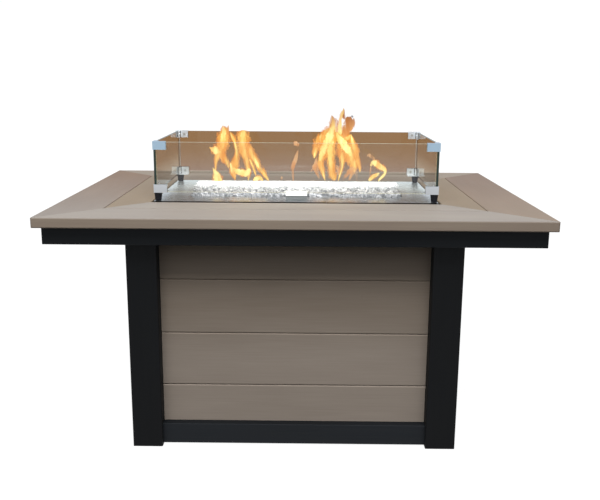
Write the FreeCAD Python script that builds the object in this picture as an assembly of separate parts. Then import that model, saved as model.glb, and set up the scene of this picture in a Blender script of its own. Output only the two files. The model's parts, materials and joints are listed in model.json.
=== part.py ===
import FreeCAD, Part
import math
import os

# Fire pit table of poly lumber boards, in millimetres.
# +Z is up, +X is the right end, the front faces -Y.
# The origin is on the floor, under the centre of the table top.

V = FreeCAD.Vector
UP = V(0, 0, 1)

# Lumber
BOARD_W = 139.7
BOARD_T = 25.4
SLAT_T = 19.05
EASE = 3.0

# Table top: an outer and an inner mitred frame of boards round the burner opening
TOP_LENGTH = 1250.0
TOP_DEPTH = 914.0
TOP_HEIGHT = 610.0
TOP_CORNER_R = 6.0
INNER_BOARD_W = 99.0
SEAM = 1.5
MITRE_GAP = 0.5

# Aprons, and the battens and ledgers under the top
APRON_H = 43.5
APRON_INSET = 19.5
BATTEN_W = 89.0
BATTEN_T = 25.4
BATTEN_LAP = 20.0
LEDGER_W = 60.0
LEDGER_SHOW = 30.0

# Base
BASE_END_INSET = 209.5
BASE_FRONT_INSET = 56.0
LEG_W = 76.2
RAIL_RECESS = 12.7
RAIL_H = 54.5
RAIL_LIFT = 4.0
SLAT_LIFT = 16.5
SLAT_GAP = 0.8
SLAT_ROWS = 4
TOP_SLAT_W = 121.2
HEAD_H = 38.1
CLEAT_W = 38.1

# Floor shelf inside the base
FLOOR_BOARD_GAP = 12.0
FLOOR_END_GAP = 1.0
BEARER_H = 19.0

# Access door in the back panel
JAMB_W = 38.1
DOOR_GAP = 3.0
DOOR_BATTEN_W = 63.5
DOOR_BATTEN_INSET = 45.0
DOOR_BATTEN_END = 18.0
DOOR_KNOB_R = 16.0
DOOR_KNOB_L = 26.0
DOOR_KNOB_NECK_R = 8.0
DOOR_KNOB_FOOT_R = 10.0
DOOR_KNOB_FOOT_H = 3.0
DOOR_KNOB_WAIST_H = 10.4
DOOR_KNOB_SWELL = 5.0
DOOR_KNOB_CHAMFER = 4.0
DOOR_KNOB_INSET = 40.0

# Butt hinges of the door
HINGE_H = 76.0
HINGE_LEAF_W = 30.0
HINGE_LEAF_T = 2.0
HINGE_KNUCKLE_R = 4.5
HINGE_PIN_R = 2.5
HINGE_RUNNING = 0.05
HINGE_KNUCKLES = 5
HINGE_KNUCKLE_GAP = 0.4
HINGE_END = 60.0

# Magnetic catch and its strike
CATCH_L = 46.0
CATCH_W = 14.0
CATCH_D = 20.0
CATCH_CHAMFER = 1.5
STRIKE_T = 1.5
STRIKE_W = 22.0
CATCH_GAP = 0.3

# Burner pan
PAN_GAP = 6.0
PAN_RISE = 1.0
SHEET_T = 1.5
END_FLANGE_W = 83.8
SIDE_FLANGE_W = 92.8
TROUGH_D = 76.0
TROUGH_CORNER_R = 26.0
WEEP_R = 4.0
WEEP_INSET = 40.0

# H burner in the trough
TUBE_R = 9.5
TUBE_WALL = 1.5
TUBE_LIFT = 12.0
TUBE_END_GAP = 55.0
TUBE_ROW_SHARE = 0.466
CROSS_TUBE_R = 9.0
PORT_R = 1.6
PORT_PITCH = 40.0
FEED_R = 8.0
FEED_HOLE_GAP = 0.4
FEED_DROP = 12.0

# Bed of crushed glass: heaped to a level crest, with steep ends and uneven lumps
BED_CREST = 25.0
BED_SHOULDER = 10.0
BED_EDGE_DROP = 1.5
BED_END_W = 12.0
BED_SIDE_W = 24.0
BED_COLUMNS = 9
BED_LUMP = 3.5
BED_LUMP_TURN_X = 0.085
BED_LUMP_TURN_Y = 0.6
BED_CREST_CALM = 0.6
BED_TUBE_GAP = 0.5
POCKET_GAP = 3.0

# Pilot, its hood and their place at the front of the trough
HOOD_L = 58.0
HOOD_FRONT_H = 11.0
HOOD_BEND_H = 12.4
HOOD_BEND_W = 8.0
HOOD_BACK_H = 13.6
HOOD_T = 1.2
HOOD_ON_FLANGE = 47.0
HOOD_OVER_TROUGH = 22.0
HOOD_VENT_R = 1.1
HOOD_VENT_ROWS = (3.2, 8.4)
HOOD_VENTS = 8
HOOD_VENT_PITCH = 6.4
PILOT_PLATE_L = 40.0
PILOT_SHELF_W = 24.0
PILOT_SHELF_DEPTH = 48.0
PILOT_TOP_DEPTH = 3.0
PILOT_PITCH = 9.0
NOZZLE_R = 4.0
NOZZLE_DROP = 6.0
ELECTRODE_R = 1.6
THERMOCOUPLE_R = 2.8
THERMOCOUPLE_DROP = 2.0
GROMMET_HOLE_GAP = 1.5

# Air mixer under the pan
MIXER_HEX_AF = 26.0
MIXER_HEX_H = 12.0
MIXER_R = 12.0
MIXER_H = 44.0
MIXER_FEED_GAP = 0.1
MIXER_SLOT_W = 8.0
MIXER_SLOT_H = 10.0
MIXER_SLOT_DROP = 1.0
MIXER_INLET_R = 9.0
MIXER_INLET_L = 20.0
MIXER_INLET_H = 17.0

# Control plate on the right end
PLATE_L = 150.0
PLATE_H = 76.0
PLATE_T = 1.5
PLATE_CORNER_R = 8.0
PLATE_TOP_GAP = 16.0
CUTOUT_MARGIN = 13.0
CONTROL_SPACING = 78.0
STEM_HOLE_GAP = 1.0

# Gas valve, its plug and stem, and the knob
VALVE_BOSS_R = 11.0
VALVE_BOSS_L = 24.0
VALVE_BLOCK_W = 34.0
VALVE_BLOCK_D = 40.0
VALVE_BLOCK_H = 36.0
VALVE_BLOCK_EDGE_R = 3.0
PLUG_R = 7.0
PLUG_L = 30.0
RUNNING = 0.05
STEM_R = 4.0
STEM_FLAT = 3.0
STEM_IN_PLUG = 14.0
KNOB_TRAVEL = 5.0
TRAVEL_SPARE = 1.0
KNOB_R = 24.0
KNOB_BASE_H = 7.0
KNOB_H = 22.0
KNOB_GRIP_W = 10.0
KNOB_EDGE = 2.0
KNOB_BORE_L = 14.0
INLET_R = 7.94
INLET_L = 14.0
INLET_COLLAR_R = 10.0
INLET_COLLAR_L = 6.0
OUTLET_R = 9.0
OUTLET_L = 12.0
PORT_BOSS_R = 4.5
PORT_BOSS_SPACING = 18.0
PORT_BOSS_RISE = 9.0
OUTLET_DROP = 7.0

# Igniter
BEZEL_R = 15.0
BEZEL_T = 2.5
IGNITER_R = 10.9
IGNITER_HOLE_GAP = 0.3
IGNITER_L = 48.0
BUTTON_R = 8.0
BUTTON_L = 22.0
BUTTON_STANDS = 9.0
BUTTON_EDGE_R = 2.0
BUTTON_TRAVEL = 6.0
TERMINAL_R = 3.0
TERMINAL_L = 8.0

# Gas line and the pilot's leads
GAS_LINE_R = 6.35
GAS_LINE_STRAIGHT = 70.0
LEAD_R = 2.5
LEAD_PASS_DROP = 20.0
LEAD_STEP = 8.0
LEAD_MIDWAY = 0.55

# Glass wind guard
GUARD_INSET_X = 2.8
GUARD_INSET_Y = 7.8
PANE_T = 6.0
PANE_H = 132.0
CORNER_GAP = 1.0
CLIP_L = 35.0
CLIP_H = 22.0
CLIP_T = 2.0
CLIP_GLASS_GAP = 0.5
CLIP_INNER_GAP = 4.0
SCREW_R = 2.0
SCREW_HEAD_R = 3.6
SCREW_HEAD_T = 1.6
FOOT_TOP_R = 10.8
FOOT_BOTTOM_R = 8.2
FOOT_H = 22.0
FOOT_EDGE = 1.0
FOOT_INSET_X = 7.5
FOOT_INSET_Y = 11.0

# Levels
top_under = TOP_HEIGHT - BOARD_T
batten_z = top_under - BATTEN_T
rail_top = RAIL_LIFT + RAIL_H
head_z = batten_z - HEAD_H
flange_z = TOP_HEIGHT + PAN_RISE
trough_bottom = flange_z - TROUGH_D
trough_floor = trough_bottom + SHEET_T
tube_z = trough_floor + TUBE_LIFT + TUBE_R

# Half sizes in plan
half_l = TOP_LENGTH / 2
half_d = TOP_DEPTH / 2
seam_x = half_l - BOARD_W
seam_y = half_d - BOARD_W
open_x = seam_x - SEAM - INNER_BOARD_W
open_y = seam_y - SEAM - INNER_BOARD_W
base_x = half_l - BASE_END_INSET
base_y = half_d - BASE_FRONT_INSET
flange_x = open_x - PAN_GAP
flange_y = open_y - PAN_GAP
trough_x = flange_x - END_FLANGE_W
trough_y = flange_y - SIDE_FLANGE_W
half_tube = trough_x - TUBE_END_GAP
tube_y = trough_y * TUBE_ROW_SHARE
guard_x = flange_x - GUARD_INSET_X
guard_y = flange_y - GUARD_INSET_Y

# Depths behind a leg's outer face
slat_face = RAIL_RECESS + BOARD_T
slat_back = slat_face + SLAT_T

# Each side's turn about Z from the front, half length and half depth
SIDES = {
    "front": (0, base_x, base_y),
    "right": (90, base_y, base_x),
    "back": (180, base_x, base_y),
    "left": (270, base_y, base_x),
}
TURNS = {side: value[0] for side, value in SIDES.items()}

# Door and the axis of its hinges, in the front's position
door_half = base_x - LEG_W - JAMB_W - DOOR_GAP
door_z0 = rail_top + DOOR_GAP
door_z1 = head_z - DOOR_GAP
door_face = base_y - slat_face
hinge_x = door_half + DOOR_GAP / 2
hinge_y = -door_face - HINGE_KNUCKLE_R

# Pilot, and the mixer's side inlet
pilot_y = -trough_y + SHEET_T + PILOT_SHELF_W / 2
pilot_shelf_z = flange_z - PILOT_SHELF_DEPTH
mixer_inlet_z = trough_bottom - MIXER_H + MIXER_INLET_H

# Place of the controls on the right wall, in the front's position
control_face = -(base_x - slat_face)
control_z = top_under - APRON_H - PLATE_TOP_GAP - PLATE_H / 2
knob_x = -CONTROL_SPACING / 2
igniter_x = CONTROL_SPACING / 2
control_turn = TURNS["right"]
plate_front = control_face - PLATE_T
block_front = control_face + VALVE_BOSS_L
block_back = block_front + VALVE_BLOCK_D

# Levels of the wind guard
clip_z0 = flange_z + FOOT_H
pane_z0 = clip_z0 + CLIP_T
pane_z1 = pane_z0 + PANE_H


def block(x0, x1, y0, y1, z0, z1):
    """Plain box between two corners."""
    return Part.makeBox(x1 - x0, y1 - y0, z1 - z0, V(x0, y0, z0))


def board(x0, x1, y0, y1, z0, z1, run):
    """Board whose four edges along RUN, a unit vector, are rounded over."""
    solid = block(x0, x1, y0, y1, z0, z1)
    edges = [e for e in solid.Edges if abs(e.tangentAt(e.FirstParameter).dot(run)) > 0.99]
    return solid.makeFillet(EASE, edges)


def turned(shape, turn):
    """Copy of a shape turned about the table's upright axis."""
    copy = shape.copy()
    copy.rotate(V(0, 0, 0), UP, turn)
    return copy


def cylinder(radius, start, direction, length):
    """Round bar from a point along a direction."""
    return Part.makeCylinder(radius, length, start, direction)


def prism(points, z0, z1):
    """Upright prism over a closed outline of (x, y) points."""
    outline = [V(x, y, z0) for x, y in points]
    return Part.Face(Part.makePolygon(outline + outline[:1])).extrude(V(0, 0, z1 - z0))


def rounded_outline(half_x, half_y, radius, z):
    """Rectangle with round corners, as a wire at height Z."""
    face = Part.makePlane(2 * half_x, 2 * half_y, V(-half_x, -half_y, z))
    corners = face.extrude(UP)
    upright = [e for e in corners.Edges if abs(e.tangentAt(e.FirstParameter).z) > 0.99]
    solid = corners.makeFillet(radius, upright)
    lowest = min(solid.Faces, key=lambda f: f.CenterOfMass.z)
    return lowest.OuterWire


def rounded_prism(half_x, half_y, radius, z0, z1):
    """Upright prism with round corners, centred on the table's upright axis."""
    return Part.Face(rounded_outline(half_x, half_y, radius, z0)).extrude(V(0, 0, z1 - z0))


def revolved(points, base, direction):
    """Solid turned from (radius, height) points about an axis through BASE."""
    outline = [V(r, 0, h) for r, h in points]
    solid = Part.Face(Part.makePolygon(outline + outline[:1])).revolve(V(0, 0, 0), UP, 360)
    solid.Placement = FreeCAD.Placement(base, FreeCAD.Rotation(UP, direction))
    return solid


def pipe(points, radius):
    """Round tube along straight runs joined by tangent arcs."""
    edges = []
    start = points[0]
    for before, corner, after in zip(points, points[1:], points[2:]):
        into = corner - before
        out = after - corner
        reach = 0.45 * min(into.Length, out.Length)
        half_turn = into.getAngle(out) / 2
        into.normalize()
        out.normalize()
        arc_radius = reach / math.tan(half_turn)
        inward = (out - into).normalize()
        middle = corner + inward * (arc_radius / math.cos(half_turn) - arc_radius)
        arc_start = corner - into * reach
        arc_end = corner + out * reach
        edges.append(Part.LineSegment(start, arc_start).toShape())
        edges.append(Part.Arc(arc_start, middle, arc_end).toShape())
        start = arc_end
        print("bend radius %.1f" % arc_radius)
    edges.append(Part.LineSegment(start, points[-1]).toShape())
    path = Part.Wire(edges)
    ring = Part.Wire([Part.makeCircle(radius, points[0], points[1] - points[0])])
    tube = path.makePipeShell([ring], True, False)
    print("tube volume ratio %.4f" % (tube.Volume / (math.pi * radius ** 2 * path.Length)))
    return tube


def save(name, *solids):
    """Write one sub-part, of one solid or of a group of separate solids."""
    shape = solids[0] if len(solids) == 1 else Part.makeCompound(list(solids))
    shape.exportStep("parts/%s.step" % name)
    sound = all(solid.isValid() for solid in shape.Solids)
    print(name, len(shape.Solids), "%.0f" % shape.Volume, "" if sound else "NOT VALID")


def mitred_frame(name, frame_x, frame_y, width, corner_r):
    """Four boards of the top with 45 degree mitres, outer edges at the given half sizes."""
    mitre_back = MITRE_GAP / math.sqrt(2)
    for side, turn in TURNS.items():
        along, across = (frame_x, frame_y) if turn % 180 == 0 else (frame_y, frame_x)
        plank = board(-along, along, -across, -across + width, top_under, TOP_HEIGHT, V(1, 0, 0))
        tip = along - mitre_back
        mitres = prism([(-tip, -across), (tip, -across),
                        (tip - width, -across + width), (-tip + width, -across + width)],
                       top_under, TOP_HEIGHT)
        rounding = rounded_prism(along, across, corner_r, top_under, TOP_HEIGHT)
        save("%s_%s" % (name, side), turned(plank.common(mitres).common(rounding), turn))


def top_supports():
    """Battens that tie the two frames, and ledgers that carry the pan's skirt."""
    apron_inner_x = half_l - APRON_INSET - BOARD_T
    lap_x = seam_x - BATTEN_LAP
    lap_y = seam_y - BATTEN_LAP
    ledger_x = open_x - LEDGER_SHOW
    ledger_y = open_y - LEDGER_SHOW
    long_batten = board(-apron_inner_x, apron_inner_x, -lap_y - BATTEN_W, -lap_y,
                        batten_z, top_under, V(1, 0, 0))
    short_batten = board(lap_x, lap_x + BATTEN_W, -lap_y, lap_y, batten_z, top_under, V(0, 1, 0))
    long_ledger = board(-ledger_x - LEDGER_W, ledger_x + LEDGER_W, -ledger_y - LEDGER_W, -ledger_y,
                        batten_z, top_under, V(1, 0, 0))
    short_ledger = board(ledger_x, ledger_x + LEDGER_W, -ledger_y, ledger_y,
                         batten_z, top_under, V(0, 1, 0))
    pieces = (long_batten, short_batten, long_ledger, short_ledger)
    save("top_battens", *[turned(piece, turn) for piece in pieces for turn in (0, 180)])


def aprons():
    """Black boards under the edge of the top; the end boards fit between the long ones."""
    apron_x = half_l - APRON_INSET
    apron_y = half_d - APRON_INSET
    low = top_under - APRON_H
    long_apron = board(-apron_x, apron_x, -apron_y, -apron_y + BOARD_T, low, top_under, V(1, 0, 0))
    end_apron = board(apron_x - BOARD_T, apron_x, -apron_y + BOARD_T, apron_y - BOARD_T,
                      low, top_under, V(0, 1, 0))
    save("apron_front", long_apron)
    save("apron_back", turned(long_apron, 180))
    save("apron_right", end_apron)
    save("apron_left", turned(end_apron, 180))


def legs():
    """Square corner posts from the floor to the battens."""
    for row, y_sign in (("front", -1), ("back", 1)):
        for end, x_sign in (("left", -1), ("right", 1)):
            outer_x = x_sign * base_x
            outer_y = y_sign * base_y
            x0, x1 = sorted((outer_x, outer_x - x_sign * LEG_W))
            y0, y1 = sorted((outer_y, outer_y - y_sign * LEG_W))
            save("leg_%s_%s" % (row, end), board(x0, x1, y0, y1, 0, batten_z, UP))


def slat_row(row):
    """Bottom and top of one row of wall slats, set out from the top row down."""
    rows_above = SLAT_ROWS - 1 - row
    low = batten_z - TOP_SLAT_W - rows_above * (BOARD_W + SLAT_GAP)
    high = low + BOARD_W if rows_above else batten_z
    return (low if row else SLAT_LIFT), high


def wall_slat(half_length, half_depth, low, high):
    """One slat of a wall, in the front's position."""
    y0 = -half_depth + slat_face
    return board(-half_length, half_length, y0, y0 + SLAT_T, low, high, V(1, 0, 0))


def base_rails():
    """Bottom rails on show, and top rails hidden behind the slats."""
    hidden = []
    for side, (turn, half_length, half_depth) in SIDES.items():
        end = half_length - LEG_W
        y0 = -half_depth + RAIL_RECESS
        rail = board(-end, end, y0, y0 + BOARD_T, RAIL_LIFT, rail_top, V(1, 0, 0))
        save("bottom_rail_" + side, turned(rail, turn))
        y1 = -half_depth + slat_back
        top_rail = block(-end, end, y1, y1 + LEG_W - slat_back, head_z, batten_z)
        hidden.append(turned(top_rail, turn))
    return hidden


def slat_cleats():
    """Upright cleats beside the legs that the slats and the door frame are fixed to."""
    cleats = []
    for turn, half_length, half_depth in SIDES.values():
        end = half_length - LEG_W
        y1 = -half_depth + slat_back
        for x0 in (-end, end - CLEAT_W):
            cleat = block(x0, x0 + CLEAT_W, y1, y1 + LEG_W - slat_back, SLAT_LIFT, head_z)
            cleats.append(turned(cleat, turn))
    return cleats


def walls():
    """Slats of the front, left and right walls; the right wall has the control cut-out."""
    for side in ("front", "left", "right"):
        turn, half_length, half_depth = SIDES[side]
        slats = []
        for row in range(SLAT_ROWS):
            low, high = slat_row(row)
            slat = wall_slat(half_length - LEG_W, half_depth, low, high)
            if side == "right":
                slat = slat.cut(control_cutout())
            slats.append(turned(slat, turn))
        if side == "front":
            for row, slat in enumerate(slats, 1):
                save("front_slat_%d" % row, slat)
        else:
            save(side + "_slats", *slats)


def door_frame():
    """Jambs, sill and head round the door, in the plane of the slats."""
    turn, half_length, half_depth = SIDES["back"]
    end = half_length - LEG_W
    opening = end - JAMB_W
    y0 = -half_depth + slat_face
    pieces = [block(x0, x0 + JAMB_W, y0, y0 + SLAT_T, SLAT_LIFT, batten_z) for x0 in (-end, opening)]
    pieces.append(wall_slat(opening, half_depth, SLAT_LIFT, rail_top))
    pieces.append(wall_slat(opening, half_depth, head_z, batten_z))
    save("door_frame", *[turned(piece, turn) for piece in pieces])


def floor_shelf():
    """Boards that the gas cylinder stands on, on two bearers."""
    inner_face = base_y - slat_back
    bearer_end = base_x - LEG_W - CLEAT_W
    low = SLAT_LIFT + BEARER_H
    bearer = block(-bearer_end, bearer_end, -inner_face, -base_y + LEG_W, SLAT_LIFT, low)
    pieces = [bearer, turned(bearer, 180)]
    pitch = BOARD_W + FLOOR_BOARD_GAP
    boards = int((2 * bearer_end + FLOOR_BOARD_GAP) // pitch)
    first = -(boards * pitch - FLOOR_BOARD_GAP) / 2
    reach = inner_face - FLOOR_END_GAP
    for index in range(boards):
        x0 = first + index * pitch
        pieces.append(board(x0, x0 + BOARD_W, -reach, reach, low, low + SLAT_T, V(0, 1, 0)))
    save("floor_shelf", *pieces)


def door_panel():
    """Door slats on two battens, with a turned knob, in the front's position."""
    turn = TURNS["back"]
    slats = []
    for row in range(SLAT_ROWS):
        low, high = slat_row(row)
        slat = wall_slat(door_half, base_y, max(low, door_z0), min(high, door_z1))
        slats.append(turned(slat, turn))
    save("door_slats", *slats)
    back = -base_y + slat_back
    battens = []
    for x_sign in (-1, 1):
        outer = x_sign * (door_half - DOOR_BATTEN_INSET)
        x0, x1 = sorted((outer, outer - x_sign * DOOR_BATTEN_W))
        batten = board(x0, x1, back, back + SLAT_T, door_z0 + DOOR_BATTEN_END,
                       door_z1 - DOOR_BATTEN_END, UP)
        battens.append(turned(batten, turn))
    save("door_battens", *battens)
    profile = [(0, 0), (DOOR_KNOB_FOOT_R, 0), (DOOR_KNOB_NECK_R, DOOR_KNOB_FOOT_H),
               (DOOR_KNOB_NECK_R, DOOR_KNOB_WAIST_H),
               (DOOR_KNOB_R, DOOR_KNOB_WAIST_H + DOOR_KNOB_SWELL),
               (DOOR_KNOB_R, DOOR_KNOB_L - DOOR_KNOB_CHAMFER),
               (DOOR_KNOB_R - DOOR_KNOB_CHAMFER, DOOR_KNOB_L), (0, DOOR_KNOB_L)]
    place = V(-door_half + DOOR_KNOB_INSET, -door_face, (door_z0 + door_z1) / 2)
    save("door_knob", turned(revolved(profile, place, V(0, -1, 0)), turn))


def hinge_leaf(x_sign, low, own_knuckles):
    """One leaf with its knuckles, flat on the wall's face, beside the hinge axis."""
    knuckle_h = HINGE_H / HINGE_KNUCKLES
    axis = V(hinge_x, hinge_y, low)
    clear = HINGE_KNUCKLE_R + HINGE_KNUCKLE_GAP
    x0, x1 = sorted((hinge_x + x_sign * clear, hinge_x + x_sign * HINGE_LEAF_W))
    leaf = block(x0, x1, -door_face - HINGE_LEAF_T, -door_face, low, low + HINGE_H)
    for index in own_knuckles:
        z0 = low + index * knuckle_h + HINGE_KNUCKLE_GAP / 2
        height = knuckle_h - HINGE_KNUCKLE_GAP
        x0, x1 = sorted((hinge_x, hinge_x + x_sign * clear))
        tongue = block(x0, x1, -door_face - HINGE_LEAF_T, -door_face, z0, z0 + height)
        leaf = leaf.fuse([cylinder(HINGE_KNUCKLE_R, V(axis.x, axis.y, z0), UP, height), tongue])
    return leaf


def hinges():
    """Two butt hinges; each pin is fixed in the leaf on the jamb."""
    turn = TURNS["back"]
    frame_leaves = []
    door_leaves = []
    odd = range(1, HINGE_KNUCKLES, 2)
    even = range(0, HINGE_KNUCKLES, 2)
    for low in (door_z0 + HINGE_END, door_z1 - HINGE_END - HINGE_H):
        start = V(hinge_x, hinge_y, low)
        pin = cylinder(HINGE_PIN_R, start, UP, HINGE_H)
        bore = cylinder(HINGE_PIN_R + HINGE_RUNNING, start, UP, HINGE_H)
        frame_leaf = hinge_leaf(1, low, even).fuse(pin).removeSplitter()
        door_leaf = hinge_leaf(-1, low, odd).removeSplitter().cut(bore)
        frame_leaves.append(turned(frame_leaf, turn))
        door_leaves.append(turned(door_leaf, turn))
    save("hinge_frame_leaves", *frame_leaves)
    save("hinge_door_leaves", *door_leaves)


def catch():
    """Magnetic catch on the cleat and steel strike on the door's back."""
    turn = TURNS["back"]
    cleat_x = -base_x + LEG_W + CLEAT_W
    back = -base_y + slat_back
    middle = (door_z0 + door_z1) / 2
    low = middle - CATCH_L / 2
    face = back + STRIKE_T + CATCH_GAP
    body = block(cleat_x, cleat_x + CATCH_W, face, face + CATCH_D, low, low + CATCH_L)
    edges = [e for e in body.Edges if e.CenterOfMass.y > face + CATCH_D - 0.1]
    save("catch_body", turned(body.makeChamfer(CATCH_CHAMFER, edges), turn))
    strike = block(-door_half, -door_half + STRIKE_W, back, back + STRIKE_T, low, low + CATCH_L)
    save("strike_plate", turned(strike, turn))


def burner_pan():
    """Flange with a turned-down skirt that stands on the ledgers, and a deep trough."""
    corner = 2 * SHEET_T
    outside = rounded_prism(flange_x, flange_y, corner, top_under, flange_z)
    inside = rounded_prism(flange_x - SHEET_T, flange_y - SHEET_T, corner - SHEET_T,
                           top_under, flange_z - SHEET_T)
    trough = rounded_prism(trough_x + SHEET_T, trough_y + SHEET_T, TROUGH_CORNER_R + SHEET_T,
                           trough_bottom, flange_z)
    hollow = rounded_prism(trough_x, trough_y, TROUGH_CORNER_R, trough_floor, flange_z)
    pan = outside.cut(inside).fuse(trough).cut(hollow)
    floor_start = V(0, 0, trough_bottom)
    pan = pan.cut(cylinder(FEED_R + FEED_HOLE_GAP, floor_start, UP, SHEET_T))
    pan = pan.cut(cylinder(grommet_hole_r(), V(0, pilot_y, trough_bottom), UP, SHEET_T))
    for x_sign in (-1, 1):
        for y_sign in (-1, 1):
            weep = V(x_sign * (trough_x - WEEP_INSET), y_sign * (trough_y - WEEP_INSET), trough_bottom)
            pan = pan.cut(cylinder(WEEP_R, weep, UP, SHEET_T))
    save("burner_pan", pan)


def grommet_hole_r():
    """Radius of the hole in the pan's floor that the three pilot leads pass."""
    return PILOT_PITCH + LEAD_R + GROMMET_HOLE_GAP


def h_tubes(growth):
    """The burner's two long tubes and the cross tube that joins them, grown all over."""
    reach = half_tube + growth
    cross = cylinder(CROSS_TUBE_R + growth, V(0, -tube_y, tube_z), V(0, 1, 0), 2 * tube_y)
    longs = [cylinder(TUBE_R + growth, V(-reach, y, tube_z), V(1, 0, 0), 2 * reach)
             for y in (-tube_y, tube_y)]
    return cross.fuse(longs)


def burner_tube():
    """Hollow H burner with ports along its top and a feed pipe through the pan's floor."""
    feed_bottom = trough_bottom - FEED_DROP
    feed = cylinder(FEED_R, V(0, 0, feed_bottom), UP, tube_z - feed_bottom)
    feed_bore = cylinder(FEED_R - TUBE_WALL, V(0, 0, feed_bottom), UP, tube_z - feed_bottom)
    burner = h_tubes(0).fuse(feed).removeSplitter()
    burner = burner.cut(h_tubes(-TUBE_WALL).fuse(feed_bore).removeSplitter())
    ports_each_way = int((half_tube - PORT_PITCH / 2) // PORT_PITCH)
    ports = [cylinder(PORT_R, V(index * PORT_PITCH, y, tube_z), UP, TUBE_R + 1)
             for y in (-tube_y, tube_y)
             for index in range(-ports_each_way, ports_each_way + 1)]
    save("burner_tube", burner.cut(Part.makeCompound(ports)))


def heap_height(x, y):
    """Level of the glass heap's top at one of its facet corners."""
    from_end = trough_x - abs(x)
    from_side = trough_y - abs(y)
    if min(from_end, from_side) < BED_END_W / 2:
        return flange_z - BED_EDGE_DROP
    shoulder = flange_z + BED_SHOULDER
    crest = flange_z + BED_CREST
    share = (from_side - BED_SIDE_W) / (trough_y - BED_SIDE_W)
    turn = BED_LUMP_TURN_X * x + BED_LUMP_TURN_Y * y
    lump = BED_LUMP * math.sin(turn) * (1 - BED_CREST_CALM * share)
    return shoulder + (crest - shoulder) * math.sin(math.pi / 2 * share) + lump


def heap_points():
    """Rows of points over the glass heap's top, from end to end and front to back."""
    inner = trough_x - BED_END_W
    inside = [-inner + 2 * inner * k / BED_COLUMNS for k in range(BED_COLUMNS + 1)]
    xs = [-trough_x] + inside + [trough_x]
    side = trough_y - BED_SIDE_W
    ys = [-trough_y, -side, -side / 2, 0, side / 2, side, trough_y]
    return [[V(x, y, heap_height(x, y)) for x in xs] for y in ys]


def facet(*corners):
    """Flat face over three or more corners."""
    return Part.Face(Part.makePolygon(list(corners) + [corners[0]]))


def heap_block():
    """Upright block under the heap's faceted top, as long and wide as the trough."""
    rows = heap_points()
    faces = []
    for low, high in zip(rows, rows[1:]):
        for a, b, c, d in zip(low, low[1:], high[1:], high):
            faces.extend([facet(a, b, c), facet(a, c, d)])
    floor_of = {}
    for row in rows:
        for point in row:
            floor_of[(point.x, point.y)] = V(point.x, point.y, trough_floor)
    front, back = rows[0], rows[-1]
    left = [row[0] for row in rows]
    right = [row[-1] for row in rows]
    for edge in (front, back, left, right):
        first = floor_of[(edge[0].x, edge[0].y)]
        last = floor_of[(edge[-1].x, edge[-1].y)]
        faces.append(facet(*(edge + [last, first])))
    faces.append(facet(*[floor_of[(p.x, p.y)] for p in (front[0], front[-1], back[-1], back[0])]))
    return Part.makeSolid(Part.makeShell(faces))


def media_bed():
    """Crushed glass that fills the trough round the burner and heaps up over it."""
    above = flange_z + 2 * BED_CREST
    bed = heap_block().common(rounded_prism(trough_x, trough_y, TROUGH_CORNER_R, trough_floor, above))
    feed = cylinder(FEED_R + BED_TUBE_GAP, V(0, 0, trough_floor), UP, tube_z - trough_floor)
    tubes = h_tubes(BED_TUBE_GAP).fuse(feed)
    pocket_x = HOOD_L / 2 + POCKET_GAP
    pocket = block(-pocket_x, pocket_x, -trough_y, -trough_y + HOOD_OVER_TROUGH + POCKET_GAP,
                   trough_floor, above)
    save("glass_media", bed.cut(tubes).cut(pocket))


def hood_body(inset, half_length):
    """Closed prism of the hood's side outline, drawn in from its outer faces."""
    front = -trough_y - HOOD_ON_FLANGE
    back = -trough_y + HOOD_OVER_TROUGH
    outline = [V(-half_length, y, flange_z + z) for y, z in (
        (front + inset, 0),
        (front + inset, HOOD_FRONT_H - inset),
        (front + HOOD_BEND_W, HOOD_BEND_H - inset),
        (back, HOOD_BACK_H - inset),
        (back, 0))]
    return facet(*outline).extrude(V(2 * half_length, 0, 0))


def pilot_hood():
    """Bent sheet hood over the pilot: two rows of vents in front, open behind."""
    half = HOOD_L / 2
    hood = hood_body(0, half).cut(hood_body(HOOD_T, half - HOOD_T))
    outside_y = -trough_y - HOOD_ON_FLANGE - HOOD_T
    vents = []
    for z in HOOD_VENT_ROWS:
        for index in range(HOOD_VENTS):
            x = (index - (HOOD_VENTS - 1) / 2) * HOOD_VENT_PITCH
            vents.append(cylinder(HOOD_VENT_R, V(x, outside_y, flange_z + z), V(0, 1, 0), 3 * HOOD_T))
    save("pilot_hood", hood.cut(Part.makeCompound(vents)))


def pilot_burner():
    """Bracket on the trough's front wall with pilot nozzle, electrode and thermocouple."""
    half = PILOT_PLATE_L / 2
    wall = -trough_y
    plate = block(-half, half, wall, wall + SHEET_T, pilot_shelf_z, flange_z - 2 * SHEET_T)
    shelf = block(-half, half, wall, wall + PILOT_SHELF_W, pilot_shelf_z, pilot_shelf_z + SHEET_T)
    rods = []
    tip = flange_z - PILOT_TOP_DEPTH - pilot_shelf_z
    sizes = ((ELECTRODE_R, tip), (NOZZLE_R, tip - NOZZLE_DROP),
             (THERMOCOUPLE_R, tip - THERMOCOUPLE_DROP))
    for index, (radius, height) in enumerate(sizes, -1):
        rods.append(cylinder(radius, V(index * PILOT_PITCH, pilot_y, pilot_shelf_z), UP, height))
    save("pilot_burner", plate.fuse([shelf] + rods).removeSplitter())


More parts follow.
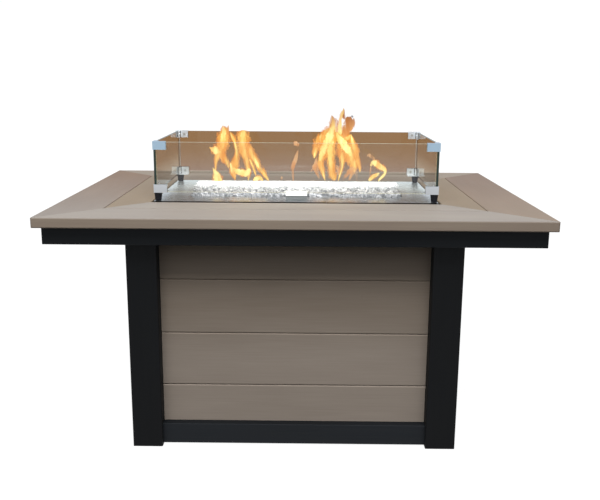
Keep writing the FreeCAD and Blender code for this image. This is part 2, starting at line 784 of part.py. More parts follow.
def air_mixer():
    """Hexagon-topped mixer on the feed pipe, with two air slots and a side inlet."""
    across = MIXER_HEX_AF / math.sqrt(3)
    corners = [(across * math.cos(math.radians(60 * k)), across * math.sin(math.radians(60 * k)))
               for k in range(6)]
    top = trough_bottom
    hexagon = prism(corners, top - MIXER_HEX_H, top)
    barrel = cylinder(MIXER_R, V(0, 0, top - MIXER_H), UP, MIXER_H - MIXER_HEX_H)
    inlet = cylinder(MIXER_INLET_R, V(0, 0, mixer_inlet_z), V(1, 0, 0), MIXER_INLET_L)
    bore = cylinder(FEED_R + MIXER_FEED_GAP, V(0, 0, mixer_inlet_z), UP, top - mixer_inlet_z)
    slot_top = top - MIXER_HEX_H - MIXER_SLOT_DROP
    slot = block(-MIXER_SLOT_W / 2, MIXER_SLOT_W / 2, -MIXER_R, MIXER_R, slot_top - MIXER_SLOT_H, slot_top)
    save("air_mixer", barrel.fuse([hexagon, inlet]).cut(bore).cut(slot))


def control_cutout():
    """Opening in the right wall behind the control plate."""
    half = PLATE_L / 2 - CUTOUT_MARGIN
    rise = PLATE_H / 2 - CUTOUT_MARGIN
    return block(-half, half, control_face, control_face + SLAT_T, control_z - rise, control_z + rise)


def control_plate():
    """Face plate with round corners and the holes for stem and igniter."""
    plate = block(-PLATE_L / 2, PLATE_L / 2, plate_front, control_face,
                  control_z - PLATE_H / 2, control_z + PLATE_H / 2)
    corners = [e for e in plate.Edges if abs(e.tangentAt(e.FirstParameter).y) > 0.99]
    plate = plate.makeFillet(PLATE_CORNER_R, corners)
    inward = V(0, 1, 0)
    plate = plate.cut(cylinder(STEM_R + STEM_HOLE_GAP, V(knob_x, plate_front, control_z), inward, PLATE_T))
    igniter_hole = IGNITER_R + IGNITER_HOLE_GAP
    plate = plate.cut(cylinder(igniter_hole, V(igniter_x, plate_front, control_z), inward, PLATE_T))
    save("control_plate", turned(plate, control_turn))


def d_bar(radius, flat, start, length):
    """Round bar with one flat, running inwards from a point."""
    bar = cylinder(radius, start, V(0, 1, 0), length)
    cutter = block(start.x - radius, start.x + radius, start.y, start.y + length,
                   start.z + flat, start.z + radius)
    return bar.cut(cutter)


def gas_valve():
    """Brass valve behind the plate: stem boss, inlet below, outlet and pilot ports behind."""
    inward = V(0, 1, 0)
    half = VALVE_BLOCK_W / 2
    rise = VALVE_BLOCK_H / 2
    body = block(knob_x - half, knob_x + half, block_front, block_back,
                 control_z - rise, control_z + rise)
    edges = [e for e in body.Edges if abs(e.tangentAt(e.FirstParameter).y) > 0.99]
    body = body.makeFillet(VALVE_BLOCK_EDGE_R, edges)
    boss = cylinder(VALVE_BOSS_R, V(knob_x, control_face, control_z), inward, VALVE_BOSS_L)
    inlet_y = (block_front + block_back) / 2
    collar = cylinder(INLET_COLLAR_R, V(knob_x, inlet_y, control_z - rise), V(0, 0, -1), INLET_COLLAR_L)
    inlet = cylinder(INLET_R, V(knob_x, inlet_y, control_z - rise), V(0, 0, -1),
                     INLET_COLLAR_L + INLET_L)
    outlet = cylinder(OUTLET_R, V(knob_x, block_back, control_z - OUTLET_DROP), inward, OUTLET_L)
    ports = [cylinder(PORT_BOSS_R, V(knob_x + shift, block_back, control_z + PORT_BOSS_RISE), inward,
                      OUTLET_L) for shift in (-PORT_BOSS_SPACING / 2, PORT_BOSS_SPACING / 2)]
    body = body.fuse([boss, collar, inlet, outlet] + ports).removeSplitter()
    bore_l = PLUG_L + 2 * RUNNING
    body = body.cut(cylinder(PLUG_R + RUNNING, V(knob_x, control_face, control_z), inward, bore_l))
    save("gas_valve", turned(body, control_turn))


def valve_plug_and_stem():
    """Plug that turns in the valve, and the D stem that turns it and slides in it."""
    plug_start = V(knob_x, control_face + RUNNING, control_z)
    plug = cylinder(PLUG_R, plug_start, V(0, 1, 0), PLUG_L)
    hole_l = STEM_IN_PLUG + KNOB_TRAVEL + TRAVEL_SPARE
    hole = d_bar(STEM_R + RUNNING, STEM_FLAT + RUNNING, plug_start, hole_l)
    save("valve_plug", turned(plug.cut(hole), control_turn))
    stem_end = control_face + RUNNING + STEM_IN_PLUG
    knob_back = plate_front - KNOB_TRAVEL - TRAVEL_SPARE
    stem_start = knob_back - KNOB_BORE_L
    stem = d_bar(STEM_R, STEM_FLAT, V(knob_x, stem_start, control_z), stem_end - stem_start)
    save("valve_stem", turned(stem, control_turn))
    foot = V(knob_x, knob_back, control_z)
    profile = [(0, 0), (KNOB_R, 0), (KNOB_R, KNOB_BASE_H - KNOB_EDGE),
               (KNOB_R - KNOB_EDGE, KNOB_BASE_H), (0, KNOB_BASE_H)]
    disc = revolved(profile, foot, V(0, -1, 0))
    reach = KNOB_R - KNOB_EDGE
    grip = block(knob_x - KNOB_GRIP_W / 2, knob_x + KNOB_GRIP_W / 2, knob_back - KNOB_H,
                 knob_back - KNOB_BASE_H / 2, control_z - reach, control_z + reach)
    rims = [e for e in grip.Edges if e.CenterOfMass.y < knob_back - KNOB_H / 2]
    knob = disc.fuse(grip.makeFillet(KNOB_EDGE, rims)).removeSplitter()
    knob = knob.cut(d_bar(STEM_R, STEM_FLAT, V(knob_x, stem_start, control_z), KNOB_BORE_L))
    save("control_knob", turned(knob, control_turn))


def igniter():
    """Push-button igniter: bezel and barrel through the plate, with the button in its bore."""
    inward = V(0, 1, 0)
    bezel_front = plate_front - BEZEL_T
    middle = V(igniter_x, 0, control_z)
    bezel = cylinder(BEZEL_R, middle + V(0, bezel_front, 0), inward, BEZEL_T)
    rim = [e for e in bezel.Edges if e.CenterOfMass.y < bezel_front + 0.1 and e.Closed]
    bezel = bezel.makeFillet(BEZEL_T / 2, rim)
    barrel = cylinder(IGNITER_R, middle + V(0, plate_front, 0), inward, IGNITER_L)
    terminal = cylinder(TERMINAL_R, middle + V(0, plate_front + IGNITER_L, 0), inward, TERMINAL_L)
    bore_l = BUTTON_L - BUTTON_STANDS + BUTTON_TRAVEL + TRAVEL_SPARE
    body = barrel.fuse([bezel, terminal]).removeSplitter()
    body = body.cut(cylinder(BUTTON_R + RUNNING, middle + V(0, bezel_front, 0), inward, bore_l))
    save("igniter_body", turned(body, control_turn))
    button = cylinder(BUTTON_R, middle + V(0, bezel_front - BUTTON_STANDS, 0), inward, BUTTON_L)
    front_rim = [e for e in button.Edges if e.CenterOfMass.y < bezel_front - BUTTON_STANDS + 0.1
                 and e.Closed]
    save("igniter_button", turned(button.makeFillet(BUTTON_EDGE_R, front_rim), control_turn))


def gas_pipework():
    """Gas line from valve to mixer, and the pilot's leads, which pass at three levels."""
    out_x = -(block_back + OUTLET_L)
    start = V(out_x, knob_x, control_z - OUTLET_DROP)
    end = V(MIXER_INLET_L, 0, mixer_inlet_z)
    run = V(GAS_LINE_STRAIGHT, 0, 0)
    save("gas_line", pipe([start, start - run, end + run, end], GAS_LINE_R))
    ports_z = control_z + PORT_BOSS_RISE
    igniter_end = V(-(plate_front + IGNITER_L + TERMINAL_L), igniter_x, control_z)
    ends = (V(out_x, knob_x - PORT_BOSS_SPACING / 2, ports_z),
            V(out_x, knob_x + PORT_BOSS_SPACING / 2, ports_z),
            igniter_end)
    leads = []
    for index, target in enumerate(ends, -1):
        head = V(index * PILOT_PITCH, pilot_y, pilot_shelf_z)
        turn_down = V(head.x, head.y, trough_bottom - LEAD_PASS_DROP - (1 - index) * LEAD_STEP)
        midway = turn_down + (target - turn_down) * LEAD_MIDWAY
        midway = V(midway.x, turn_down.y + index * PILOT_PITCH, turn_down.z)
        before = V(target.x - GAS_LINE_STRAIGHT / 2, target.y, target.z)
        leads.append(pipe([head, turn_down, midway, before, target], LEAD_R))
    save("pilot_leads", *leads)


def panes():
    """Side panes run the full depth; the front and back panes stand between them."""
    inner_x = guard_x - PANE_T - CORNER_GAP
    long_pane = block(-inner_x, inner_x, -guard_y, -guard_y + PANE_T, pane_z0, pane_z1)
    side_pane = block(guard_x - PANE_T, guard_x, -guard_y, guard_y, pane_z0, pane_z1)
    save("pane_front", long_pane)
    save("pane_back", turned(long_pane, 180))
    save("pane_right", side_pane)
    save("pane_left", turned(side_pane, 180))


def corner_clip(upper):
    """Clip at the front right corner: outer angle, cap plate and two inner plates."""
    outer_x = guard_x + CLIP_T
    outer_y = -guard_y - CLIP_T
    end_x = outer_x - CLIP_L
    end_y = outer_y + CLIP_L
    inner_x = guard_x - PANE_T - CLIP_GLASS_GAP
    inner_y = -guard_y + PANE_T + CLIP_GLASS_GAP
    z0 = pane_z1 + CLIP_T - CLIP_H if upper else clip_z0
    z1 = z0 + CLIP_H
    cap_z = z1 - CLIP_T if upper else z0
    pieces = [
        block(end_x, outer_x, outer_y, outer_y + CLIP_T, z0, z1),
        block(outer_x - CLIP_T, outer_x, outer_y, end_y, z0, z1),
        block(inner_x - CLIP_T, inner_x, inner_y + CLIP_INNER_GAP, end_y, z0, z1),
        block(end_x, inner_x - CLIP_INNER_GAP, inner_y, inner_y + CLIP_T, z0, z1),
    ]
    if upper:
        pieces.append(block(end_x, outer_x, outer_y, inner_y + CLIP_T, cap_z, cap_z + CLIP_T))
        pieces.append(block(inner_x - CLIP_T, outer_x, outer_y, end_y, cap_z, cap_z + CLIP_T))
    else:
        pieces.append(block(end_x, outer_x, outer_y, end_y, cap_z, cap_z + CLIP_T))
    clip = pieces[0].fuse(pieces[1:]).removeSplitter()
    middle_z = z0 + CLIP_H / 2
    screw_x = (end_x + inner_x - CLIP_INNER_GAP) / 2
    screw_y = (end_y + inner_y + CLIP_INNER_GAP) / 2
    screws = []
    for seat, outward in ((V(screw_x, inner_y, middle_z), V(0, 1, 0)),
                          (V(inner_x, screw_y, middle_z), V(-1, 0, 0))):
        hole_start = seat - outward * CLIP_GLASS_GAP
        clip = clip.cut(cylinder(SCREW_R, hole_start, outward, CLIP_T + CLIP_GLASS_GAP))
        shank = cylinder(SCREW_R, hole_start, outward, CLIP_T + CLIP_GLASS_GAP)
        head = cylinder(SCREW_HEAD_R, seat + outward * CLIP_T, outward, SCREW_HEAD_T)
        screws.append(shank.fuse(head))
    return clip, screws


def four_corners(shape):
    """The front right piece and its mirror images at the other corners."""
    left = shape.mirror(V(0, 0, 0), V(1, 0, 0))
    front = [shape, left]
    return front + [piece.mirror(V(0, 0, 0), V(0, 1, 0)) for piece in front]


def clips_and_feet():
    """Eight corner clips with their glass screws, and four rubber feet."""
    clips = []
    screws = []
    for upper in (False, True):
        clip, clip_screws = corner_clip(upper)
        clips.extend(four_corners(clip))
        for screw in clip_screws:
            screws.extend(four_corners(screw))
    save("guard_clips", *clips)
    save("clip_screws", *screws)
    profile = [(0, 0), (FOOT_BOTTOM_R - FOOT_EDGE, 0), (FOOT_BOTTOM_R, FOOT_EDGE),
               (FOOT_TOP_R, FOOT_H), (0, FOOT_H)]
    place = V(guard_x - FOOT_INSET_X, -guard_y + FOOT_INSET_Y, flange_z)
    save("guard_feet", *four_corners(revolved(profile, place, UP)))


os.makedirs("parts", exist_ok=True)
mitred_frame("top_board", half_l, half_d, BOARD_W, TOP_CORNER_R)
mitred_frame("inner_board", seam_x - SEAM, seam_y - SEAM, INNER_BOARD_W, EASE)
top_supports()
aprons()
legs()
save("inner_frame", *(base_rails() + slat_cleats()))
walls()
door_frame()
floor_shelf()
door_panel()
hinges()
catch()
burner_pan()
burner_tube()
media_bed()
pilot_hood()
pilot_burner()
air_mixer()
control_plate()
gas_valve()
valve_plug_and_stem()
igniter()
gas_pipework()
panes()
clips_and_feet()
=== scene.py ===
import json
import math
from functools import cache

import bmesh
import bpy
import numpy as np
from mathutils import Matrix, Vector


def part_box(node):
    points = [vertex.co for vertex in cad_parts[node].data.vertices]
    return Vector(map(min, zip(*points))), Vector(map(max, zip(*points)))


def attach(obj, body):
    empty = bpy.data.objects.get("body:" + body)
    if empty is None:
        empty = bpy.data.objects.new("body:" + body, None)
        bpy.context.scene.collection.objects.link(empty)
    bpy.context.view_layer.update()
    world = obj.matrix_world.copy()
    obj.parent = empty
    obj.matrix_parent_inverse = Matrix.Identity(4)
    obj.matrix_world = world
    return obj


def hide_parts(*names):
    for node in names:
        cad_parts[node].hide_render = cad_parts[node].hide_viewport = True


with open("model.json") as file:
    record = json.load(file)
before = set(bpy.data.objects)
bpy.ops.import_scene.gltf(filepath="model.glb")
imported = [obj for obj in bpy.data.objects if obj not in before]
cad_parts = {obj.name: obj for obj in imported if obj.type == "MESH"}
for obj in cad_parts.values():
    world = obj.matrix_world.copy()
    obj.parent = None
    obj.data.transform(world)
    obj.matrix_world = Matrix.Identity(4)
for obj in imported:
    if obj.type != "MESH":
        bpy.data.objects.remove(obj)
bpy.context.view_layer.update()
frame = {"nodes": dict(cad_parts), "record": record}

# Fire pit table: finishes, crushed glass, fasteners, flames, light and camera.
# Lengths are in metres unless a name or comment says otherwise.
MM = 0.001
random = np.random.default_rng(41)


# Nodes and colours

def linear(code, share=1.0):
    """Scene-linear colour of an sRGB hex code, times a share."""
    values = [int(code[k:k + 2], 16) / 255 for k in (1, 3, 5)]
    curve = [v / 12.92 if v <= 0.04045 else ((v + 0.055) / 1.055) ** 2.4 for v in values]
    return tuple(v * share for v in curve) + (1.0,)


def add(tree, kind, inputs, **settings):
    """Add a node. INPUTS gives its sockets, by name or number or in order, a constant or a link from a
    socket or from a node's first output in use. The rest are its properties."""
    node = tree.nodes.new(kind)
    for name, value in settings.items():
        setattr(node, name, value)
    for key, value in inputs.items() if isinstance(inputs, dict) else enumerate(inputs):
        if isinstance(value, bpy.types.Node):
            value = next(socket for socket in value.outputs if socket.enabled)
        if isinstance(value, bpy.types.NodeSocket):
            tree.links.new(value, node.inputs[key])
        else:
            node.inputs[key].default_value = value
    return node


def new_material(name):
    """Empty material, its node tree, and its Object coordinates."""
    material = bpy.data.materials.new(name)
    material.use_nodes = True
    tree = material.node_tree
    tree.nodes.clear()
    return material, tree, add(tree, "ShaderNodeTexCoord", {}).outputs["Object"]


def grain(tree, place, across, along, run, detail):
    """Noise whose grains are ACROSS wide and ALONG long, with the run on axis 0, 1 or 2."""
    scale = [1 / across] * 3
    scale[run] = 1 / along
    mapped = add(tree, "ShaderNodeMapping", {"Vector": place, "Scale": scale})
    return add(tree, "ShaderNodeTexNoise", {"Vector": mapped, "Scale": 1.0, "Detail": detail})


# Materials. The sockets of Map Range are, in order, value, from low, from high, to low, to high; those
# of Mix are 0 for the share and 6 and 7 for its colours.

def poly_lumber(name, run, light, dark, shine, edge, painted_shade_drift):
    """High density polyethylene lumber, extruded and brushed along its run: a waxy matt skin with
    fine streaks, faint clouds of tone, and a pebbled bump that softens every highlight. EDGE multiplies
    the tone of the upright faces; on the front boards it lightens and warms them, a painted highlight.
    The last argument, (axis, from, to, tint), drifts the tone along an axis as painted shade: darker on
    the tops' far ends and high up on the walls, under the overhang."""
    material, tree, place = new_material(name)
    # The real brush marks are 0.3 mm apart; 3 mm is the finest that shows at this size
    streaks = grain(tree, place, 3 * MM, 140 * MM, run, 5.0)
    clouds = grain(tree, place, 70 * MM, 300 * MM, run, 2.0)
    pebbles = grain(tree, place, 1.6 * MM, 2.4 * MM, run, 2.0)
    both = add(tree, "ShaderNodeMath", [streaks, clouds], operation="ADD")
    share = add(tree, "ShaderNodeMapRange", [both, 0.7, 1.3, 0.0, 1.0])
    tone = add(tree, "ShaderNodeMix", {0: share, 6: linear(dark), 7: linear(light)}, data_type="RGBA")
    # Upright faces multiplied by EDGE: on the front boards a painted highlight, lighter and warmer
    if edge:
        normal = add(tree, "ShaderNodeSeparateXYZ", [
            add(tree, "ShaderNodeNewGeometry", {}).outputs["True Normal"]]).outputs
        upright = add(tree, "ShaderNodeMath", [normal["Z"], 0.5], operation="LESS_THAN")
        tone = add(tree, "ShaderNodeMix", {0: upright, 6: tone, 7: edge}, data_type="RGBA",
                   blend_type="MULTIPLY")
    # Painted shade: the tone drifts darker along an axis
    if painted_shade_drift:
        axis, start, end, tint = painted_shade_drift
        at = add(tree, "ShaderNodeSeparateXYZ", [place]).outputs
        share = add(tree, "ShaderNodeMapRange", [at[axis], start * MM, end * MM, 0.0, 1.0])
        tone = add(tree, "ShaderNodeMix", {0: share, 6: tone, 7: tint}, data_type="RGBA",
                   blend_type="MULTIPLY")
    height = add(tree, "ShaderNodeMath", [streaks, pebbles], operation="ADD")
    bump = add(tree, "ShaderNodeBump", {"Height": height, "Strength": 0.3, "Distance": 0.2 * MM})
    rough = add(tree, "ShaderNodeMapRange", [streaks, 0.3, 0.7, 0.55, 0.66])
    body = add(tree, "ShaderNodeBsdfPrincipled", {
        "Base Color": tone, "Roughness": rough, "Specular IOR Level": shine, "IOR": 1.54, "Normal": bump})
    add(tree, "ShaderNodeOutputMaterial", {"Surface": body})
    return material


def brushed_metal(name, tint, run, rough, metallic=1.0, edge=None, far=None, dark_strip_y=None, low_edge=None):
    """Sheet or bar metal rubbed with a belt along one way: a mirror drawn out by fine parallel scratches.
    EDGE is the tint of its upright folds, a painted shade, and LOW_EDGE that of the folds
    near the table top, a painted highlight where they catch its light. FAR is the tint it drifts to
    behind the table's middle, a painted highlight. The argument after FAR is the Y in front of which
    the top takes the EDGE tint too: a painted dark strip, painted shade and dark reflection at the
    front edge.
    A METALLIC under one is for a blasted or oxidised skin, which also scatters."""
    material, tree, place = new_material(name)
    # Belt scratches are 0.1 mm wide; 1.5 mm is the finest that shows
    scratches = grain(tree, place, 1.5 * MM, 120 * MM, run, 4.0)
    smudges = grain(tree, place, 40 * MM, 60 * MM, run, 2.0)
    both = add(tree, "ShaderNodeMath", [scratches, smudges], operation="ADD")
    rub = add(tree, "ShaderNodeMapRange", [both, 0.7, 1.3, rough - 0.06, rough + 0.06])
    bump = add(tree, "ShaderNodeBump", {"Height": scratches, "Strength": 0.25, "Distance": 0.02 * MM})
    at = add(tree, "ShaderNodeSeparateXYZ", [place]).outputs
    tone = linear(tint)
    # Painted shade on the upright folds, and a painted highlight on the low ones
    if edge:
        upright = linear(edge)
        if low_edge:
            height = add(tree, "ShaderNodeMapRange", [at["Z"], 670 * MM, 710 * MM, 0.0, 1.0])
            upright = add(tree, "ShaderNodeMix", {0: height, 6: linear(low_edge), 7: upright},
                          data_type="RGBA")
        normal = add(tree, "ShaderNodeSeparateXYZ", [
            add(tree, "ShaderNodeNewGeometry", {}).outputs["True Normal"]]).outputs
        lying = add(tree, "ShaderNodeMath", [normal["Z"], 0.5], operation="GREATER_THAN")
        if dark_strip_y is not None:
            inward = add(tree, "ShaderNodeMath", [at["Y"], dark_strip_y], operation="GREATER_THAN")
            lying = add(tree, "ShaderNodeMath", [lying, inward], operation="MULTIPLY")
        tone = add(tree, "ShaderNodeMix", {0: lying, 6: upright, 7: tone}, data_type="RGBA")
    # Painted highlight behind the table's middle
    if far:
        behind = add(tree, "ShaderNodeMapRange", [at["Y"], -120 * MM, 60 * MM, 0.0, 1.0])
        tone = add(tree, "ShaderNodeMix", {0: behind, 6: tone, 7: linear(far)}, data_type="RGBA")
    body = add(tree, "ShaderNodeBsdfPrincipled", {
        "Base Color": tone, "Metallic": metallic, "Roughness": rub, "Normal": bump})
    add(tree, "ShaderNodeOutputMaterial", {"Surface": body})
    return material


def moulded(name, tint, rough, grit, shine=0.4):
    """Moulded rubber or plastic, or sprayed powder: an even skin with a fine grit that breaks the gloss."""
    material, tree, place = new_material(name)
    specks = grain(tree, place, grit, grit, 0, 2.0)
    clouds = grain(tree, place, 18 * MM, 18 * MM, 0, 2.0)
    bump = add(tree, "ShaderNodeBump", {"Height": specks, "Strength": 0.4, "Distance": grit / 8})
    tone = add(tree, "ShaderNodeMix", {0: clouds, 6: linear(tint, 0.8), 7: linear(tint, 1.2)},
               data_type="RGBA")
    haze = add(tree, "ShaderNodeMapRange", [clouds, 0.3, 0.7, rough - 0.05, rough + 0.05])
    body = add(tree, "ShaderNodeBsdfPrincipled", {
        "Base Color": tone, "Roughness": haze, "Specular IOR Level": shine, "Normal": bump})
    add(tree, "ShaderNodeOutputMaterial", {"Surface": body})
    return material


def pane_glass(name, tint, low_tint, end_tint, top_tint, face_axis, gloss):
    """Tempered float glass with ground edges, for a pane whose faces look along axis 0 or 1: the faces
    pass light and mirror a little of it, more at a glancing angle; the edges, where one looks along
    the sheet, have the deep colour of the glass, and are pale on top where light runs out of them.
    The tint, which on the side and back panes is painted brown as a painted shade of the dim room seen
    through them, runs out to LOW_TINT down the pane, and is clear at its foot. GLOSS is the index that
    sets the mirror."""
    material, tree, place = new_material(name)
    shape = add(tree, "ShaderNodeNewGeometry", {}).outputs
    normal = add(tree, "ShaderNodeSeparateXYZ", [shape["True Normal"]]).outputs
    at = add(tree, "ShaderNodeSeparateXYZ", [place]).outputs
    # Faint waves of the float bath, some 90 mm long
    waves = grain(tree, place, 90 * MM, 90 * MM, 0, 1.0)
    bump = add(tree, "ShaderNodeBump", {"Height": waves, "Strength": 0.2, "Distance": 0.2 * MM})
    foot = add(tree, "ShaderNodeMapRange", [at["Z"], 641 * MM, 643.5 * MM, 0.0, 1.0])
    rise = add(tree, "ShaderNodeMapRange", [at["Z"], 640 * MM, 710 * MM, 0.0, 1.0])
    tone = add(tree, "ShaderNodeMix", {0: foot, 6: linear("#F6F5F2"), 7: linear(low_tint)},
               data_type="RGBA")
    tone = add(tree, "ShaderNodeMix", {0: rise, 6: tone, 7: linear(tint)}, data_type="RGBA")
    size = add(tree, "ShaderNodeMath", [normal[face_axis]], operation="ABSOLUTE")
    on_face = add(tree, "ShaderNodeMath", [size, 0.5], operation="GREATER_THAN")
    # Off the faces the view through is painted brown, a painted shade
    tone = add(tree, "ShaderNodeMix", {0: on_face, 6: linear("#8A7865"), 7: tone}, data_type="RGBA")
    clear = add(tree, "ShaderNodeBsdfTransparent", {"Color": tone})
    mirror = add(tree, "ShaderNodeBsdfGlossy", {"Roughness": 0.02, "Normal": bump})
    # A sheet mirrors with both faces; here the near one does it for both
    fresnel = add(tree, "ShaderNodeFresnel", {"IOR": gloss})
    near = add(tree, "ShaderNodeMath", [1.0, shape["Backfacing"]], operation="SUBTRACT")
    share = add(tree, "ShaderNodeMath", [fresnel, near], operation="MULTIPLY")
    face = add(tree, "ShaderNodeMixShader", [share, clear, mirror])
    upward = add(tree, "ShaderNodeMath", [normal["Z"], 0.5], operation="GREATER_THAN")
    edge_tone = add(tree, "ShaderNodeMix", {0: upward, 6: linear(end_tint), 7: linear(top_tint)},
                    data_type="RGBA")
    edge = add(tree, "ShaderNodeBsdfPrincipled", {"Base Color": edge_tone, "Roughness": 0.25, "IOR": 1.5})
    # The back corners' ends, looked at from inside the sheet, let the view through, painted darker: a
    # painted shade
    behind = add(tree, "ShaderNodeMath", [at["Y"], 0.0], operation="GREATER_THAN")
    through = add(tree, "ShaderNodeMath", [behind, shape["Backfacing"]], operation="MULTIPLY")
    see_through = add(tree, "ShaderNodeMath", [on_face, through], operation="MAXIMUM")
    sheet = add(tree, "ShaderNodeMixShader", [see_through, edge, face])
    add(tree, "ShaderNodeOutputMaterial", {"Surface": sheet})
    return material


def crushed_glass(name, share, inner_glow):
    """Tempered clear glass, crushed and tumbled: each lump is painted bright or grey at random, a painted
    light and shade for how its broken faces turn to the light, and along the crest, where fire shines
    into the heap, the lumps are painted glowing white, a painted glow."""
    material, tree, place = new_material(name)
    # Painted light and shade: a random tone for each lump
    tone = add(tree, "ShaderNodeAttribute", {}, attribute_name="chip_tone").outputs["Fac"]
    shade = add(tree, "ShaderNodeMix", {0: tone, 6: linear("#B3B7BC", share), 7: linear("#F1F3F7", share)},
                data_type="RGBA")
    # Conchoidal ripples of a broken face, 2 mm apart
    ripples = grain(tree, place, 2 * MM, 2 * MM, 0, 1.0)
    bump = add(tree, "ShaderNodeBump", {"Height": ripples, "Strength": 0.3, "Distance": 0.2 * MM})
    # Painted glow where the fire shines into the heap
    glow = add(tree, "ShaderNodeAttribute", {}, attribute_name="fire_light").outputs["Fac"]
    strength = add(tree, "ShaderNodeMath", [glow, inner_glow], operation="MULTIPLY")
    body = add(tree, "ShaderNodeBsdfPrincipled", {
        "Base Color": shade, "Roughness": 0.16, "IOR": 1.5, "Specular IOR Level": 0.7, "Normal": bump,
        "Emission Color": linear("#FBFDFF"), "Emission Strength": strength})
    inner = add(tree, "ShaderNodeBsdfTranslucent", {"Color": shade})
    lump = add(tree, "ShaderNodeMixShader", [0.35, body, inner])
    add(tree, "ShaderNodeOutputMaterial", {"Surface": lump})
    return material


def fire(name, low_glow, high_glow, thickness, holes):
    """Burning gas: it glows through its depth and hides what is behind it, so a thin edge is clear and
    a thick middle is full; THICKNESS is where it is two thirds full. Upright streaks 9 mm wide, drawn
    the same through the depth, tear it, wider ones redden it, and it cools as it leaves the guard."""
    material, tree, place = new_material(name)
    mapped = add(tree, "ShaderNodeMapping", {"Vector": place, "Scale": (1 / (9 * MM), 0.0, 1 / (48 * MM))})
    streaks = add(tree, "ShaderNodeTexNoise", {"Vector": mapped, "Scale": 1.0, "Detail": 3.0,
                                               "Distortion": 0.6})
    density = add(tree, "ShaderNodeMapRange", [streaks, 0.36, 0.6, holes / thickness, 1.7 / thickness])
    at = add(tree, "ShaderNodeSeparateXYZ", [place]).outputs
    rise = add(tree, "ShaderNodeMapRange", [at["Z"], 765 * MM, 825 * MM, 0.0, 1.0])
    glow = add(tree, "ShaderNodeMix", {0: rise, 6: low_glow, 7: high_glow}, data_type="RGBA")
    wide_streaks = grain(tree, place, 16 * MM, 45 * MM, 2, 2.0)
    heat = add(tree, "ShaderNodeMapRange", [wide_streaks, 0.38, 0.62, 0.0, 1.0])
    hue = add(tree, "ShaderNodeMix", {0: heat, 6: linear("#F6DFCE"), 7: linear("#ECF3FF", 1.25)},
              data_type="RGBA")
    tone = add(tree, "ShaderNodeMix", {0: 1.0, 6: glow, 7: hue}, data_type="RGBA", blend_type="MULTIPLY")
    glowing = add(tree, "ShaderNodeEmission", {"Color": tone, "Strength": density})
    hiding = add(tree, "ShaderNodeVolumeAbsorption", {"Color": (0, 0, 0, 1), "Density": density})
    gas = add(tree, "ShaderNodeAddShader", [glowing, hiding])
    add(tree, "ShaderNodeOutputMaterial", {"Volume": gas})
    return material


# Lumber tones for each part of the table, a little apart as painted light and shade, each painted
# to how the light falls there: light and dark streak, shine, tint of the upright faces, and the
# painted shade drift as axis, from and to in mm, and tint
TAUPE = {
    # The front boards' upright faces are painted lighter and warmer, a painted highlight
    "front": ("#978F85", "#8E857D", 0.25, linear("#FFF5EA", 1.26), None),
    # The tops' ends are painted darker towards the back, a painted shade
    "left": ("#8E857C", "#857C74", 0.25, None, (1, -420, 350, linear("#F2D6BD"))),
    "right": ("#8C7B6B", "#837363", 0.25, None, (1, -300, 350, linear("#F8EFEF"))),
    "inner": ("#8D7D68", "#847460", 0.25, None, None),
    "back": ("#97897A", "#8D8071", 0.25, None, None),
    # The walls are painted lighter, and darker high up under the overhang: painted light and shade
    "wall": ("#B6A99C", "#AC9F92", 0.08, None, (2, 235, 370, linear("#E6E3DE")))}
# Black lumber tones, a little apart as painted light and shade: the bluish tone, strongest on the rail, is
# a painted sheen, and the uprights are painted darker, a painted shade
BLACK = {
    "long": ("#131619", "#0D1013", 0.12, None, None),
    "deep": ("#131517", "#0D0F11", 0.12, None, None),
    "upright": ("#0E1012", "#0A0B0D", 0.12, None, None),
    "rail": ("#0F141A", "#0B1015", 0.22, None, None)}

stainless = brushed_metal("brushed_stainless_steel", "#D2D6D5", 0, 0.3)
# The slab under the lumps is painted darker, a painted shade of the gaps between them
bed_material = crushed_glass("crushed_glass_below", 0.8, 0.5)
# The side panes' brown tint is a painted shade of the dim room seen through them
shaded_side_glass = pane_glass("float_glass_side_painted_shade", "#C1A98D", "#E4E1DA", "#0D2B20", "#2A3A30", 0, 1.5)
BY_SLOT = {
    "stainless": stainless,
    "crushed_glass": bed_material,
    "brass": brushed_metal("turned_brass", "#C9A261", 2, 0.3),
    "line_aluminium": brushed_metal("drawn_aluminium_tube", "#C4C6C6", 0, 0.32),
    # The clips' upright faces are painted darker, a painted shade; low by the table top and behind the
    # middle they are painted lighter, painted highlights
    "clip_aluminium": brushed_metal("satin_anodised_aluminium", "#B9CBDD", 2, 0.36, 0.9, "#A9C1D3",
                                    "#F4FAFF", low_edge="#DDE3E9"),
    "foot_rubber": moulded("moulded_black_rubber", "#1B1C24", 0.6, 1.2 * MM, 0.3),
    "lead_sleeve": moulded("braided_lead_sleeve", "#2A2724", 0.7, 0.8 * MM, 0.3),
    "knob_plastic": moulded("moulded_black_phenolic", "#18181A", 0.3, 1.5 * MM, 0.5),
    "button_plastic": moulded("moulded_black_nylon", "#222224", 0.4, 1.2 * MM, 0.5),
    "black_steel": moulded("black_powder_coated_steel", "#1C1D1F", 0.42, 0.9 * MM)}
